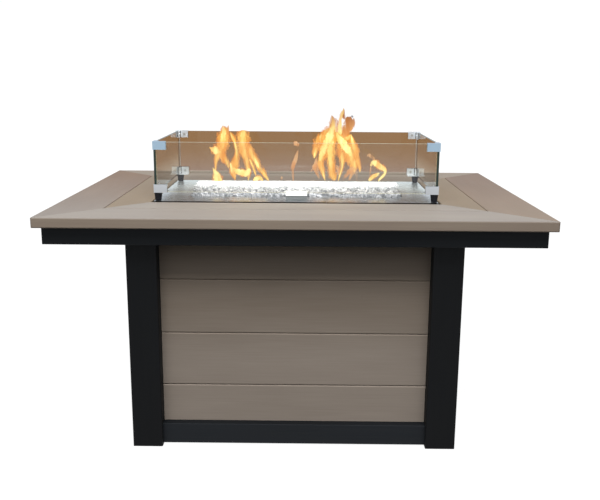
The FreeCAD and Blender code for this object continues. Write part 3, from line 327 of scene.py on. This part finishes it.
# Depth of the strip along the front of the pan's flange that is painted dark, painted shade and dark
# reflection at its edge
PAN_DARK_STRIP = 7 * MM
BY_NODE = {
    "pane_front": pane_glass("clear_float_glass", "#FBFAF6", "#F6F6F3", "#AEB48C", "#D2D6B8", 1, 1.6),
    # The back pane's brown tint is a painted shade of the dim room seen through it
    "pane_back": pane_glass("float_glass_back_painted_shade", "#C1A98D", "#C8B8AE", "#AEB48C", "#5E5546", 1, 1.4),
    "pane_left": shaded_side_glass,
    "pane_right": shaded_side_glass,
    # The hood's upright faces are painted darker than its top, a painted shade
    "pilot_hood": brushed_metal("blasted_stainless_steel", "#F6F8F9", 0, 0.6, 0.3, "#A9ACAE"),
    # The pan's upright folds and a strip along its front are painted near black, a painted shadow; behind
    # the middle it is painted lighter, a painted highlight
    "burner_pan": brushed_metal("brushed_stainless_pan", "#9DA3A6", 0, 0.27, 0.8, "#131415", "#EFFAFF",
                                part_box("burner_pan")[0].y + PAN_DARK_STRIP)}


def run_of(node):
    """Axis that a lumber node's boards run along."""
    if node.startswith("leg_") or node in ("door_battens", "inner_frame", "door_frame"):
        return 2
    if node == "floor_shelf" or node.endswith(("_left", "_right")) or node in ("left_slats", "right_slats"):
        return 1
    return 0


def taupe_lit_group(node):
    """Lighting group of a node's taupe boards, whose tone is painted for how the light falls on that part
    of the table.
    """
    if not node.startswith(("top_board", "inner_board")):
        return "wall"
    side = node.split("_")[-1]
    if side in ("left", "right") and node.startswith("inner_board"):
        return "inner"
    return side


@cache
def taupe_lumber(lit_group, run):
    """Taupe lumber of one lighting group and run, made once."""
    return poly_lumber("taupe_poly_lumber_%s_%s" % (lit_group, "xyz"[run]), run, *TAUPE[lit_group])


@cache
def black_lumber(lit_group, run):
    """Black lumber of one lighting group and run, made once."""
    return poly_lumber("black_poly_lumber_" + lit_group, run, *BLACK[lit_group])


slot_of = {part["node"]: part["material_slot"] for part in frame["record"]["subparts"]}
for node, piece in frame["nodes"].items():
    run = run_of(node)
    if slot_of[node] == "poly_taupe":
        material = taupe_lumber(taupe_lit_group(node), run)
    elif slot_of[node] == "poly_black":
        material = black_lumber("rail" if node == "bottom_rail_front" else ("long", "deep", "upright")[run],
                                run)
    else:
        material = BY_NODE[node] if node in BY_NODE else BY_SLOT[slot_of[node]]
    piece.data.materials.clear()
    piece.data.materials.append(material)


# Surfaces from arrays

def grid_quads(rows, columns, closed=False):
    """Quads between neighbouring rows and columns; CLOSED joins the last column to the first."""
    row = np.arange(rows - 1)[:, None]
    column = np.arange(columns if closed else columns - 1)[None, :]
    after = (column + 1) % columns
    corners = (row * columns + column, row * columns + after,
               (row + 1) * columns + after, (row + 1) * columns + column)
    return np.stack(np.broadcast_arrays(*corners), -1).reshape(-1, 4)


def make_piece(name, points, faces, material, smooth=False):
    """Mesh object from whole arrays, its doubles merged and its faces turned outwards."""
    mesh = bpy.data.meshes.new(name)
    mesh.from_pydata(points.reshape(-1, 3).tolist(), [], faces.tolist())
    shape = bmesh.new()
    shape.from_mesh(mesh)
    bmesh.ops.remove_doubles(shape, verts=shape.verts, dist=1e-6)
    bmesh.ops.dissolve_degenerate(shape, edges=shape.edges, dist=1e-7)
    bmesh.ops.recalc_face_normals(shape, faces=shape.faces)
    shape.to_mesh(mesh)
    shape.free()
    mesh.materials.append(material)
    mesh.polygons.foreach_set("use_smooth", np.full(len(mesh.polygons), smooth))
    piece = bpy.data.objects.new(name, mesh)
    bpy.context.scene.collection.objects.link(piece)
    return piece


def paint(piece, name, domain, values):
    """Give a piece a named number at each point or face."""
    piece.data.attributes.new(name, "FLOAT", domain).data.foreach_set(
        "value", np.asarray(values, np.float32))


# Crushed glass

glass_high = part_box("glass_media")[1]
flange_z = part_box("burner_pan")[1].z
# The trough, the pocket that holds the pilot at its front, and the heap of glass over the flange
TROUGH_X, TROUGH_Y, CORNER_R = glass_high.x, glass_high.y, 26 * MM
POCKET_X, POCKET_Y = 33 * MM, -93 * MM
BED_LOW = 585 * MM
RIM_DROP, SHOULDER, CREST = 1.5 * MM, 10 * MM, 25 * MM
SIDE_SLOPE, END_SLOPE = 24 * MM, 8 * MM
# The slab's top is sunk under the heap's, because the lumps make up the difference
SLAB_DROP = 5 * MM
# The slab is painted darker than most lumps, a painted shade of the gaps between them
SLAB_TONE = 0.35


def front_limit(x, inset):
    """Front edge of the glass at X: the trough's wall with its round corners, or the pilot's pocket."""
    into = np.clip(np.abs(x) - (TROUGH_X - CORNER_R), 0, CORNER_R)
    wall = -(TROUGH_Y - CORNER_R) - np.sqrt(np.maximum(CORNER_R ** 2 - into ** 2, 0)) + inset
    return np.where(np.abs(x) < POCKET_X + inset, POCKET_Y + inset, wall)


def back_limit(x, inset):
    """Back edge of the glass at X, the front wall's mirror image with no pocket."""
    return -front_limit(np.where(np.abs(x) < 2 * POCKET_X, 2 * POCKET_X, x), inset)


def bed_height(x, y):
    """Top of the heap: it starts just under the rim, climbs a steep shoulder, then a quarter of a sine
    to a level crest along the middle, with low mounds from two slanting waves 60 and 38 mm long."""
    side = TROUGH_Y - np.abs(y)
    end = TROUGH_X - np.abs(x)
    foot = np.clip(np.minimum(side / SIDE_SLOPE, end / END_SLOPE), 0, 1)
    climb = np.sin(np.clip((side - SIDE_SLOPE) / (TROUGH_Y - SIDE_SLOPE), 0, 1) * np.pi / 2)
    heap = RIM_DROP + SHOULDER + (CREST - SHOULDER) * climb
    mounds = (np.sin(x * 85 + y * 60) + np.sin(x * 137 + y * 95) * 0.5) * (1 - 0.6 * climb)
    return flange_z - RIM_DROP + foot * (heap + 1.8 * MM * mounds)


def firelight(x, y):
    """How much fire shines into the glass: full along the crest, a third 42 mm to its sides by the
    exponential of a fourth power, and fading over the last 25 mm of its ends by a square root."""
    return np.exp(-(y / (42 * MM)) ** 4) * np.clip((TROUGH_X - np.abs(x)) / (25 * MM), 0, 1) ** 0.5


def glass_bed():
    """Closed slab under the lumps: its top follows bed_height on a grid of X by the share of the way
    from the front limit to the back limit, and its underside is level."""
    x = np.unique(np.concatenate([np.linspace(-TROUGH_X, TROUGH_X, 120),
                                  [-POCKET_X - MM, -POCKET_X, POCKET_X, POCKET_X + MM]]))
    x = x * (TROUGH_X - MM) / TROUGH_X
    share = np.linspace(0, 1, 32)
    front, back = front_limit(x, MM), back_limit(x, MM)
    y = front[:, None] + (back - front)[:, None] * share
    wide = np.broadcast_to(x[:, None], y.shape)
    top = np.stack([wide, y, bed_height(wide, y) - SLAB_DROP], -1)
    under = top.copy()
    under[..., 2] = BED_LOW
    rows, columns = y.shape
    rim = np.concatenate([np.arange(columns), np.arange(1, rows) * columns + columns - 1,
                          (rows - 1) * columns + np.arange(columns - 2, -1, -1),
                          np.arange(rows - 2, 0, -1) * columns])
    after = np.roll(rim, -1)
    count = rows * columns
    quads = grid_quads(rows, columns)
    walls = np.stack([rim, after, after + count, rim + count], -1)
    faces = np.concatenate([quads, quads[:, ::-1] + count, walls])
    piece = make_piece("crushed_glass_bed", np.concatenate([top, under]), faces, bed_material)
    at = np.empty(len(piece.data.vertices) * 3, np.float32)
    piece.data.vertices.foreach_get("co", at)
    paint(piece, "chip_tone", "POINT", np.full(len(at) // 3, SLAB_TONE))
    paint(piece, "fire_light", "POINT", firelight(at[0::3], at[1::3]))
    return piece


def rotations(count):
    """Random turns as COUNT rotation matrices, from unit quaternions."""
    q = random.normal(size=(count, 4))
    w, x, y, z = (q / np.linalg.norm(q, axis=1, keepdims=True)).T
    return np.stack([
        np.stack([1 - 2 * (y * y + z * z), 2 * (x * y - w * z), 2 * (x * z + w * y)], -1),
        np.stack([2 * (x * y + w * z), 1 - 2 * (x * x + z * z), 2 * (y * z - w * x)], -1),
        np.stack([2 * (x * z - w * y), 2 * (y * z + w * x), 1 - 2 * (x * x + y * y)], -1)], 1)


def glass_chips(count):
    """Loose lumps, mostly 9 to 17 mm from corner to corner: each is a cube whose eight corners are
    moved at random, and which is flattened, turned and sunk 2.5 to 7 mm into the heap. None stands
    over the crest, and behind the middle they are cut to a plane that falls 8 in 100."""
    signs = np.array([[i, j, k] for i in (-1, 1) for j in (-1, 1) for k in (-1, 1)], float)
    quads = np.array([[0, 1, 3, 2], [4, 6, 7, 5], [0, 4, 5, 1], [2, 3, 7, 6], [0, 2, 6, 4], [1, 5, 7, 3]])
    triangles = np.concatenate([quads[:, [0, 1, 2]], quads[:, [0, 2, 3]]])
    half = random.uniform(4.0, 7.0, (count, 1, 1)) * MM * random.uniform(0.5, 1.0, (count, 1, 3))
    corners = signs[None] * half * random.uniform(0.6, 1.0, (count, 8, 3))
    corners = np.einsum("nij,nkj->nki", rotations(count), corners)
    margin = 7 * MM
    x = random.uniform(-TROUGH_X + margin, TROUGH_X - margin, count)
    front, back = front_limit(x, margin), back_limit(x, margin)
    y = front + (back - front) * random.uniform(0, 1, count)
    z = bed_height(x, y) + random.uniform(-7.0, -2.5, count) * MM
    corners += np.stack([x, y, z], -1)[:, None]
    ceiling = flange_z + CREST - 0.08 * np.maximum(corners[..., 1], 0)
    corners[..., 2] = np.minimum(corners[..., 2], ceiling)
    faces = (triangles[None] + 8 * np.arange(count)[:, None, None]).reshape(-1, 3)
    chips_material = crushed_glass("crushed_tempered_glass", 1.0, 0.8)
    piece = make_piece("crushed_glass_lumps", corners, faces, chips_material)
    paint(piece, "chip_tone", "FACE", np.repeat(random.uniform(0, 1, count) ** 0.6, len(triangles)))
    paint(piece, "fire_light", "FACE", np.repeat(firelight(x, y), len(triangles)))
    return piece


for piece in (glass_bed(), glass_chips(count=3600)):
    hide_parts("glass_media")
    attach(piece, "table")


# Small fasteners

def screw_heads(name, seats, radius, body):
    """Pan heads: a low dome, z = 0.55 radius by a share of the cosine of r, on rings round each seat's
    axis, with a cross recess sunk where either cross coordinate is small, and a skirt down to the seat."""
    rings, spokes = 9, 32
    r = np.linspace(0, 1, rings)[:, None] * radius
    turn = np.linspace(0, 2 * np.pi, spokes, endpoint=False)[None, :]
    a, b = r * np.cos(turn), r * np.sin(turn)
    dome = 0.55 * radius * (0.35 + 0.65 * np.cos(r / radius * np.pi / 2)) + 0 * turn
    recess = (np.minimum(np.abs(a), np.abs(b)) < 0.13 * radius) & (r < 0.6 * radius)
    height = np.where(recess, dome - 0.3 * radius, dome)
    skirt = np.stack([a[-1], b[-1], 0 * a[-1]], -1)[None]
    centre = np.zeros((1, spokes, 3))
    local = np.concatenate([np.stack([a, b, height], -1), skirt, centre])
    quads = grid_quads(local.shape[0], spokes, True)
    points, faces = [], []
    for index, (place, axis) in enumerate(seats):
        seat_turn = np.array(Vector(axis).to_track_quat("Z", "Y").to_matrix())
        points.append(local.reshape(-1, 3) @ seat_turn.T + np.array(place))
        faces.append(quads + index * local.shape[0] * spokes)
    piece = make_piece(name, np.concatenate(points), np.concatenate(faces), stainless, True)
    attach(piece, body)


HINGE_H, LEAF_T, HINGE_SCREW_R = 76 * MM, 2 * MM, 3.2 * MM
PLATE_SCREW_R = 3.4 * MM
# From a leaf's or a plate's edge to its screws, and the middle screw's step to one side
SCREW_INSET, STAGGER = 9 * MM, 3 * MM
door_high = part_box("hinge_door_leaves")[1]
frame_low, frame_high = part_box("hinge_frame_leaves")
leaf_face = frame_low.y + LEAF_T
door_screws, frame_screws = [], []
for foot in (frame_low.z, frame_high.z - HINGE_H):
    for share in (0.15, 0.5, 0.85):
        height = foot + HINGE_H * share
        inset = SCREW_INSET + (STAGGER if share == 0.5 else 0)
        door_screws.append(((door_high.x - inset, leaf_face, height), (0, 1, 0)))
        frame_screws.append(((frame_low.x + inset, leaf_face, height), (0, 1, 0)))
screw_heads("hinge_screws_door", door_screws, HINGE_SCREW_R, "door")
screw_heads("hinge_screws_jamb", frame_screws, HINGE_SCREW_R, "table")

plate_low, plate_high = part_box("control_plate")
plate_screws = [((plate_high.x, y, z), (1, 0, 0))
                for y in (plate_low.y + SCREW_INSET, plate_high.y - SCREW_INSET)
                for z in (plate_low.z + SCREW_INSET, plate_high.z - SCREW_INSET)]
screw_heads("control_plate_screws", plate_screws, PLATE_SCREW_R, "table")


def knob_pointer():
    """White line on the knob's grip: a bar 2.2 mm wide whose cross section is half an ellipse 0.5 mm
    high, and whose ends close by a power curve, the root of 1 - s ** 8 for s from -1 to 1."""
    rows = 14
    low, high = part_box("control_knob")
    middle = (low.y + high.y) / 2
    along = np.linspace(high.z - 15 * MM, high.z - 3 * MM, rows)
    end = np.sqrt(1 - np.linspace(-1, 1, rows) ** 8)
    turn = np.linspace(0, np.pi, 9)
    width = 1.1 * MM * np.cos(turn)[None] * end[:, None]
    lift = 0.5 * MM * np.sin(turn)[None] * end[:, None]
    top = np.stack([high.x + lift, middle + width, np.broadcast_to(along[:, None], width.shape)], -1)
    sunk = top.copy()
    sunk[..., 0] = high.x - 0.3 * MM
    ring = np.concatenate([top, sunk[:, ::-1]], 1)
    paint_white = moulded("white_filling_paint", "#E8E8E4", 0.45, 1.0 * MM)
    piece = make_piece("knob_pointer", ring, grid_quads(rows, ring.shape[1], True), paint_white, True)
    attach(piece, "knob")


knob_pointer()


# Flames, which aren't part of the table
# Each tongue: name, kind of fire, depth place y in mm, then points of (x, z, half width) in mm up it
TONGUES = (
    ("left_base", "bright", 16, ((-233, 635, 14.2), (-233, 646, 13.2), (-236, 657, 9.5), (-242, 667, 4.4),
        (-246, 676, 0.7))),
    ("left_stem", "body", 20, ((-240, 651, 2.2), (-239, 667, 3.3), (-238, 684, 4.4), (-235, 698, 7.3),
        (-230, 712, 11.7), (-224, 725, 17.6), (-218, 740, 18.3), (-216, 754, 17.6), (-213, 769, 16.1),
        (-212, 780, 13.2), (-214, 789, 8.1), (-216, 796, 1.5))),
    ("left_horn", "tip", 24, ((-208, 747, 5.1), (-205, 761, 6.6), (-203, 776, 6.6), (-201, 787, 4.4),
        (-199, 798, 0.7))),
    ("left_lobe", "bright", 13, ((-223, 721, 4.4), (-231, 724, 11.7), (-237, 726, 13.5), (-244, 728, 9.9),
        (-249, 731, 4.4), (-255, 734, 0.7))),
    ("left_cross", "body", 14, ((-219, 719, 6.6), (-213, 705, 10.2), (-206, 692, 8.0), (-202, 681, 4.7),
        (-200, 672, 1.1))),
    ("mid_left", "body", 22, ((-182, 637, 1.8), (-185, 650, 6.2), (-187, 665, 9.9), (-184, 682, 12.5),
        (-178, 698, 9.9), (-176, 715, 7.0), (-177, 729, 5.5), (-181, 746, 6.6), (-187, 760, 8.1),
        (-192, 770, 5.9), (-195, 779, 1.1))),
    ("mid_left_foot", "bright", 15, ((-194, 690, 1.1), (-192, 679, 5.1), (-187, 667, 8.0),
        (-184, 653, 5.1), (-182, 642, 1.5))),
    ("mid_foot", "bright", 17, ((-186, 676, 3.7), (-177, 666, 8.0), (-164, 661, 11.0), (-151, 660, 11.7),
        (-142, 665, 8.8), (-139, 674, 2.9))),
    ("mid_right", "body", 26, ((-143, 635, 1.8), (-142, 651, 5.5), (-144, 667, 7.3), (-146, 682, 7.0),
        (-148, 696, 8.4), (-153, 711, 11.7), (-156, 725, 15.4), (-157, 740, 17.6), (-157, 754, 17.2),
        (-157, 769, 16.1), (-156, 779, 13.9), (-156, 783, 5.1))),
    ("right_slope", "body", 18, ((-81, 636, 1.8), (-88, 646, 5.5), (-98, 659, 7.7), (-108, 674, 8.8),
        (-119, 690, 10.2), (-128, 706, 11.3), (-137, 723, 11.7), (-144, 737, 8.8), (-149, 750, 1.8))),
    ("slope_twig", "body", 12, ((-139, 702, 2.9), (-131, 685, 5.5), (-126, 672, 5.1), (-122, 660, 3.6),
        (-120, 651, 0.7))),
    ("right_foot", "bright", 20, ((-129, 636, 2.2), (-122, 642, 6.2), (-112, 644, 7.7), (-104, 640, 4.8),
        (-100, 636, 1.5))),
    ("spark", "faint", 18, ((-45, 652, 1.1), (-45, 646, 4.8), (-45, 640, 1.1))),
    ("wisp", "faint", 18, ((-11, 635, 1.5), (-12, 651, 3.7), (-14, 665, 4.4), (-12, 680, 6.2),
        (-7, 695, 6.2), (-2, 709, 4.8), (1, 720, 3.7), (4, 729, 0.7))),
    ("wisp_top", "faint", 18, ((-10, 752, 1.8), (-5, 748, 6.6), (0, 743, 5.9), (2, 737, 1.1))),
    ("big_outer", "body", 30, ((49, 702, 1.8), (52, 717, 8.5), (56, 734, 12.1), (61, 748, 13.2),
        (67, 763, 11.0), (74, 774, 8.1), (79, 786, 1.5))),
    ("outer_foot", "faint", 22, ((65, 643, 1.5), (60, 657, 4.8), (55, 671, 7.3), (54, 684, 7.3),
        (56, 696, 5.1), (57, 707, 1.8))),
    ("outer_curl", "faint", 14, ((39, 664, 0.7), (46, 673, 4.7), (51, 681, 6.6), (56, 689, 3.7))),
    ("big_left", "body", 20, ((82, 638, 1.5), (78, 653, 4.8), (73, 669, 8.4), (69, 684, 10.2),
        (70, 699, 11.7), (75, 717, 16.1), (79, 733, 19.0), (85, 749, 21.2), (91, 766, 21.2),
        (98, 782, 19.0), (103, 796, 13.9), (104, 809, 11.0), (101, 819, 6.6), (98, 828, 1.1))),
    ("big_glow", "bright", 10, ((66, 696, 2.2), (70, 714, 8.0), (77, 732, 10.9), (84, 750, 11.7),
        (93, 767, 13.1), (100, 783, 9.5), (103, 793, 2.9))),
    ("big_stem", "body", 16, ((110, 639, 2.9), (106, 652, 11.0), (101, 666, 11.7), (99, 685, 12.1),
        (96, 703, 14.6), (95, 721, 16.8), (96, 739, 16.8), (99, 757, 16.8), (104, 775, 13.2),
        (110, 788, 7.3), (113, 798, 1.5))),
    ("plume", "bright", 24, ((119, 760, 5.1), (122, 775, 7.3), (123, 789, 7.3), (123, 803, 6.2),
        (123, 815, 4.8), (126, 825, 4.8), (130, 835, 4.8), (132, 842, 2.9), (133, 848, 0.7))),
    ("plume_tip", "tip", 27, ((137, 815, 2.2), (134, 823, 5.1), (132, 832, 5.5), (133, 840, 3.7),
        (133, 848, 0.7))),
    ("plume_leaf", "tip", 18, ((131, 761, 2.2), (137, 773, 8.0), (141, 785, 12.4), (146, 797, 13.9),
        (149, 809, 13.2), (150, 817, 10.2), (153, 825, 1.8))),
    ("leaf_edge", "tip", 14, ((149, 783, 2.9), (155, 793, 6.6), (160, 804, 6.6), (162, 813, 4.4),
        (162, 821, 1.1))),
    ("leaf_notch", "tip", 12, ((135, 803, 2.2), (139, 810, 5.1), (142, 818, 5.1), (144, 825, 1.5))),
    ("ember", "ash", 14, ((155, 828, 1.1), (157, 825, 3.7), (160, 821, 1.1))),
    ("big_right", "body", 20, ((113, 781, 2.9), (118, 768, 11.7), (127, 753, 17.6), (137, 739, 22.7),
        (147, 725, 24.2), (157, 710, 19.8), (163, 696, 16.8), (166, 681, 13.9), (167, 669, 8.1),
        (167, 663, 1.8))),
    ("right_glow", "bright", 9, ((114, 776, 2.9), (122, 761, 9.5), (132, 748, 13.1), (142, 736, 13.1),
        (150, 724, 8.7), (154, 711, 2.9))),
    ("right_shoulder", "body", 26, ((125, 757, 5.9), (135, 760, 11.7), (146, 763, 13.2), (153, 768, 7.3),
        (157, 773, 1.1))),
    ("right_edge", "body", 14, ((183, 663, 1.1), (183, 674, 4.7), (179, 686, 6.2), (175, 698, 7.3),
        (171, 713, 8.8), (167, 729, 10.2), (162, 745, 10.2), (157, 759, 8.0), (155, 772, 1.5))),
    ("inner_stem", "body", 12, ((120, 639, 1.5), (123, 652, 3.6), (128, 670, 5.1), (131, 689, 7.3),
        (131, 707, 10.2), (128, 725, 8.8), (125, 740, 1.8))),
    ("fan_a", "faint", 8, ((135, 640, 1.8), (140, 652, 5.1), (148, 663, 6.2), (157, 673, 6.6),
        (164, 681, 2.9))),
    ("fan_b", "faint", 12, ((151, 640, 1.8), (156, 651, 4.7), (161, 662, 6.2), (165, 673, 5.8),
        (166, 682, 1.8))),
    ("fan_c", "faint", 16, ((175, 637, 1.5), (174, 652, 3.3), (172, 665, 5.1), (169, 678, 4.4))),
    ("fan_d", "faint", 20, ((119, 654, 1.5), (121, 666, 4.4), (118, 677, 5.1), (113, 685, 1.8))),
    ("arc_tip", "faint", 22, ((202, 710, 1.1), (209, 713, 4.8), (216, 709, 5.9), (222, 702, 4.4),
        (225, 697, 1.5))),
    ("small_arc", "bright", 20, ((214, 681, 2.2), (220, 690, 6.6), (227, 690, 10.2), (239, 683, 9.1),
        (249, 677, 8.1), (256, 670, 5.9), (257, 662, 4.4), (251, 652, 4.4), (241, 642, 2.9),
        (238, 637, 1.1))),
    ("small_base", "bright", 14, ((210, 638, 1.8), (213, 643, 4.7), (222, 651, 6.6), (232, 657, 5.8),
        (240, 663, 2.2))),
    ("arc_thread", "faint", 18, ((217, 685, 1.5), (215, 674, 2.9), (214, 663, 2.2), (212, 654, 0.7))),
)


def smooth_path(points, steps):
    """Cubic curve through the rows of POINTS, STEPS samples to a span; its slope at each row is half
    the way from the row before to the row after."""
    padded = np.concatenate([2 * points[:1] - points[1:2], points, 2 * points[-1:] - points[-2:-1]])
    t = np.linspace(0, 1, steps, endpoint=False)[:, None]
    spans = []
    for k in range(len(points) - 1):
        a, b, c, d = padded[k:k + 4]
        spans.append(0.5 * (2 * b + (c - a) * t + (2 * a - 5 * b + 4 * c - d) * t ** 2
                            + (3 * b - a - 3 * c + d) * t ** 3))
    return np.concatenate(spans + [points[-1:]])


def tongue(name, depth, points, wide_share, material):
    """Closed flame: ellipses square to a middle line in the XZ plane, WIDE_SHARE of the width and at
    most 10 mm deep each way. Each side flutters on its own by sines 8, 19 and 43 mm long and 7, 9 and
    10 percent of the width high, the line sways 4 mm in depth by a sine of z, and the flame is drawn
    to a point at both ends."""
    path = smooth_path(np.array(points, float) * MM, 8)
    x, z, half = path.T
    dx, dz = np.gradient(x), np.gradient(z)
    length = np.hypot(dx, dz)
    run = np.cumsum(length) * 2 * np.pi
    phase = points[0][0] + 3 * depth
    flutter = [1 + 0.07 * np.sin(run / (8 * MM) + 3 * phase + side)
               + 0.09 * np.sin(run / (19 * MM) + phase + side)
               + 0.1 * np.sin(run / (43 * MM) + 2 * phase - side) for side in (0, 2)]
    half = np.maximum(half, 0.2 * MM) * wide_share
    half[[0, -1]] = 0
    turn = np.linspace(0, 2 * np.pi, 20, endpoint=False)
    wide = half[:, None] * np.cos(turn)
    wide *= np.where(np.cos(turn) > 0, flutter[0][:, None], flutter[1][:, None])
    deep = np.minimum(half, 11 * MM)[:, None] * np.sin(turn) * 0.9
    sway = 4 * MM * np.sin(z * 40 + depth)
    ring = np.stack([x[:, None] + wide * (dz / length)[:, None],
                     depth * MM + sway[:, None] + deep,
                     z[:, None] - wide * (dx / length)[:, None]], -1)
    make_piece(name, ring, grid_quads(len(x), len(turn), True), material, True)


FIRES = {
    "veil": fire("burning_gas_edge", linear("#FFAD59"), linear("#BC7C50"), 17 * MM, 0.12),
    "body": fire("burning_gas", linear("#FFC364", 1.1), linear("#B87C4B"), 8 * MM, 0.35),
    "core": fire("burning_gas_middle", linear("#FFEF96", 1.5), linear("#E7AA65"), 4 * MM, 0.35),
    "bright": fire("bright_burning_gas", linear("#FFEF9C", 1.5), linear("#FFD781"), 4 * MM, 0.5),
    "tip": fire("cooling_gas", linear("#F3AA65"), linear("#B57C50"), 4 * MM, 0.4),
    "faint": fire("thin_burning_gas", linear("#F6BC84"), linear("#DA9769"), 8 * MM, 0.2),
    "ash": fire("drifting_ash", linear("#818184"), linear("#818184"), 4 * MM, 0.6)}
# Layers of each kind of flame, from its thin edge to its hot middle: share of the width, fire
LAYERS = {
    "body": ((1.2, "veil"), (0.85, "body"), (0.45, "core")),
    "bright": ((1.2, "veil"), (0.85, "bright")),
    "tip": ((1.2, "veil"), (0.85, "tip"), (0.4, "body")),
    "faint": ((1.0, "faint"),),
    "ash": ((1.0, "ash"),)}
for name, kind, depth, points in TONGUES:
    for layer, (share, gas) in enumerate(LAYERS[kind]):
        tongue("flame_%s_%d" % (name, layer), depth - layer, points, share, FIRES[gas])


# Floor, light and camera

def floor_paint():
    """Matt studio floor, pale and evenly lit from within, with a soft contact shadow. Only the eye and
    mirrors see it pale: to soft light it is dark, as round a table that stands on a small white sweep."""
    material, tree, place = new_material("matt_studio_floor")
    nap = grain(tree, place, 30 * MM, 30 * MM, 0, 2.0)
    bump = add(tree, "ShaderNodeBump", {"Height": nap, "Strength": 0.05, "Distance": 0.2 * MM})
    lit = add(tree, "ShaderNodeBsdfDiffuse", {"Color": linear("#F6F6F6"), "Normal": bump})
    glow = add(tree, "ShaderNodeEmission", {"Color": linear("#FFFFFF"), "Strength": 1.1})
    pale = add(tree, "ShaderNodeMixShader", [0.86, lit, glow])
    dark = add(tree, "ShaderNodeBsdfDiffuse", {"Color": linear("#2E2D2C")})
    path = add(tree, "ShaderNodeLightPath", {}).outputs
    seen = add(tree, "ShaderNodeMath", [path["Is Camera Ray"], path["Is Glossy Ray"]], operation="MAXIMUM")
    sweep = add(tree, "ShaderNodeMixShader", [seen, dark, pale])
    add(tree, "ShaderNodeOutputMaterial", {"Surface": sweep})
    return material


REACH = 30.0
sides = np.array([[-1, -1, 0], [1, -1, 0], [1, 1, 0], [-1, 1, 0]]) * REACH
make_piece("studio_floor", sides, np.array([[0, 1, 2, 3]]), floor_paint())


def studio_world():
    """Plain studio round the table: a white backdrop, pale walls in reflections, and soft light that is
    dim at the front horizon and stronger overhead and behind, where the lamp doesn't reach."""
    world = bpy.data.worlds.new("pale_studio")
    bpy.context.scene.world = world
    world.use_nodes = True
    tree = world.node_tree
    tree.nodes.clear()
    toward = add(tree, "ShaderNodeTexCoord", {}).outputs["Generated"]
    axes = add(tree, "ShaderNodeSeparateXYZ", [toward]).outputs
    behind = add(tree, "ShaderNodeMapRange", [axes["Y"], 0.0, 0.5, 0.0, 0.8])
    overhead = add(tree, "ShaderNodeMapRange", [axes["Z"], 0.0, 0.7, 0.1, 0.6])
    soft = add(tree, "ShaderNodeMath", [behind, overhead], operation="ADD")
    light = add(tree, "ShaderNodeMath", [soft, 0.04], operation="ADD")
    dome = add(tree, "ShaderNodeBackground", {"Color": linear("#FAFBFF"), "Strength": light})
    walls = add(tree, "ShaderNodeBackground", {"Color": linear("#F1F6FC"), "Strength": 0.85})
    backdrop = add(tree, "ShaderNodeBackground", {"Color": linear("#FFFFFF"), "Strength": 1.02})
    path = add(tree, "ShaderNodeLightPath", {}).outputs
    reflected = add(tree, "ShaderNodeMixShader", [path["Is Glossy Ray"], dome, walls])
    seen = add(tree, "ShaderNodeMixShader", [path["Is Camera Ray"], reflected, backdrop])
    add(tree, "ShaderNodeOutputWorld", {"Surface": seen})


def soft_box(name, place, target, width, height, power, tint="#FFFFFF"):
    """Rectangular lamp that looks at a point."""
    lamp = bpy.data.lights.new(name, "AREA")
    lamp.shape, lamp.size, lamp.size_y = "RECTANGLE", width, height
    lamp.energy = power
    lamp.color = linear(tint)[:3]
    holder = bpy.data.objects.new(name, lamp)
    holder.location = place
    holder.rotation_euler = (Vector(target) - Vector(place)).to_track_quat("-Z", "Y").to_euler()
    bpy.context.scene.collection.objects.link(holder)
    return holder


studio_world()
soft_box("key_box", place=(-0.1, -1.8, 3.4), target=(0, 0, 0.45), width=2.4, height=1.6, power=86)
# The light that the fire throws on the glass bed; the lamp itself isn't mirrored
fire_glow = soft_box("fire_glow", place=(0, 0, 0.74), target=(0, 0, 0.6), width=0.54, height=0.06,
                     power=2.0, tint="#FFFBF4")
fire_glow.visible_glossy = False

# The camera is fitted to the photograph's corners, seams, legs and guard
PITCH, ROLL, YAW = (math.radians(angle) for angle in (12.783, -0.3877, -0.3816))
EYE = Vector((0.0252, -2.2763, 0.9502))
FOCAL_PIXELS, WIDTH_PIXELS, SENSOR_MM = 787.52, 600, 36
ahead = Vector((math.sin(YAW) * math.cos(PITCH), math.cos(YAW) * math.cos(PITCH), -math.sin(PITCH)))
level = Vector((math.cos(YAW), -math.sin(YAW), 0))
upright = level.cross(ahead)
across = level * math.cos(ROLL) - upright * math.sin(ROLL)
above = level * math.sin(ROLL) + upright * math.cos(ROLL)
lens = bpy.data.cameras.new("camera")
lens.sensor_width = SENSOR_MM
lens.lens = FOCAL_PIXELS / WIDTH_PIXELS * SENSOR_MM
camera = bpy.data.objects.new("camera", lens)
camera.matrix_world = Matrix((across, above, -ahead)).transposed().to_4x4()
camera.location = EYE
bpy.context.scene.collection.objects.link(camera)
bpy.context.scene.camera = camera
bpy.context.scene.view_settings.view_transform = "Standard"
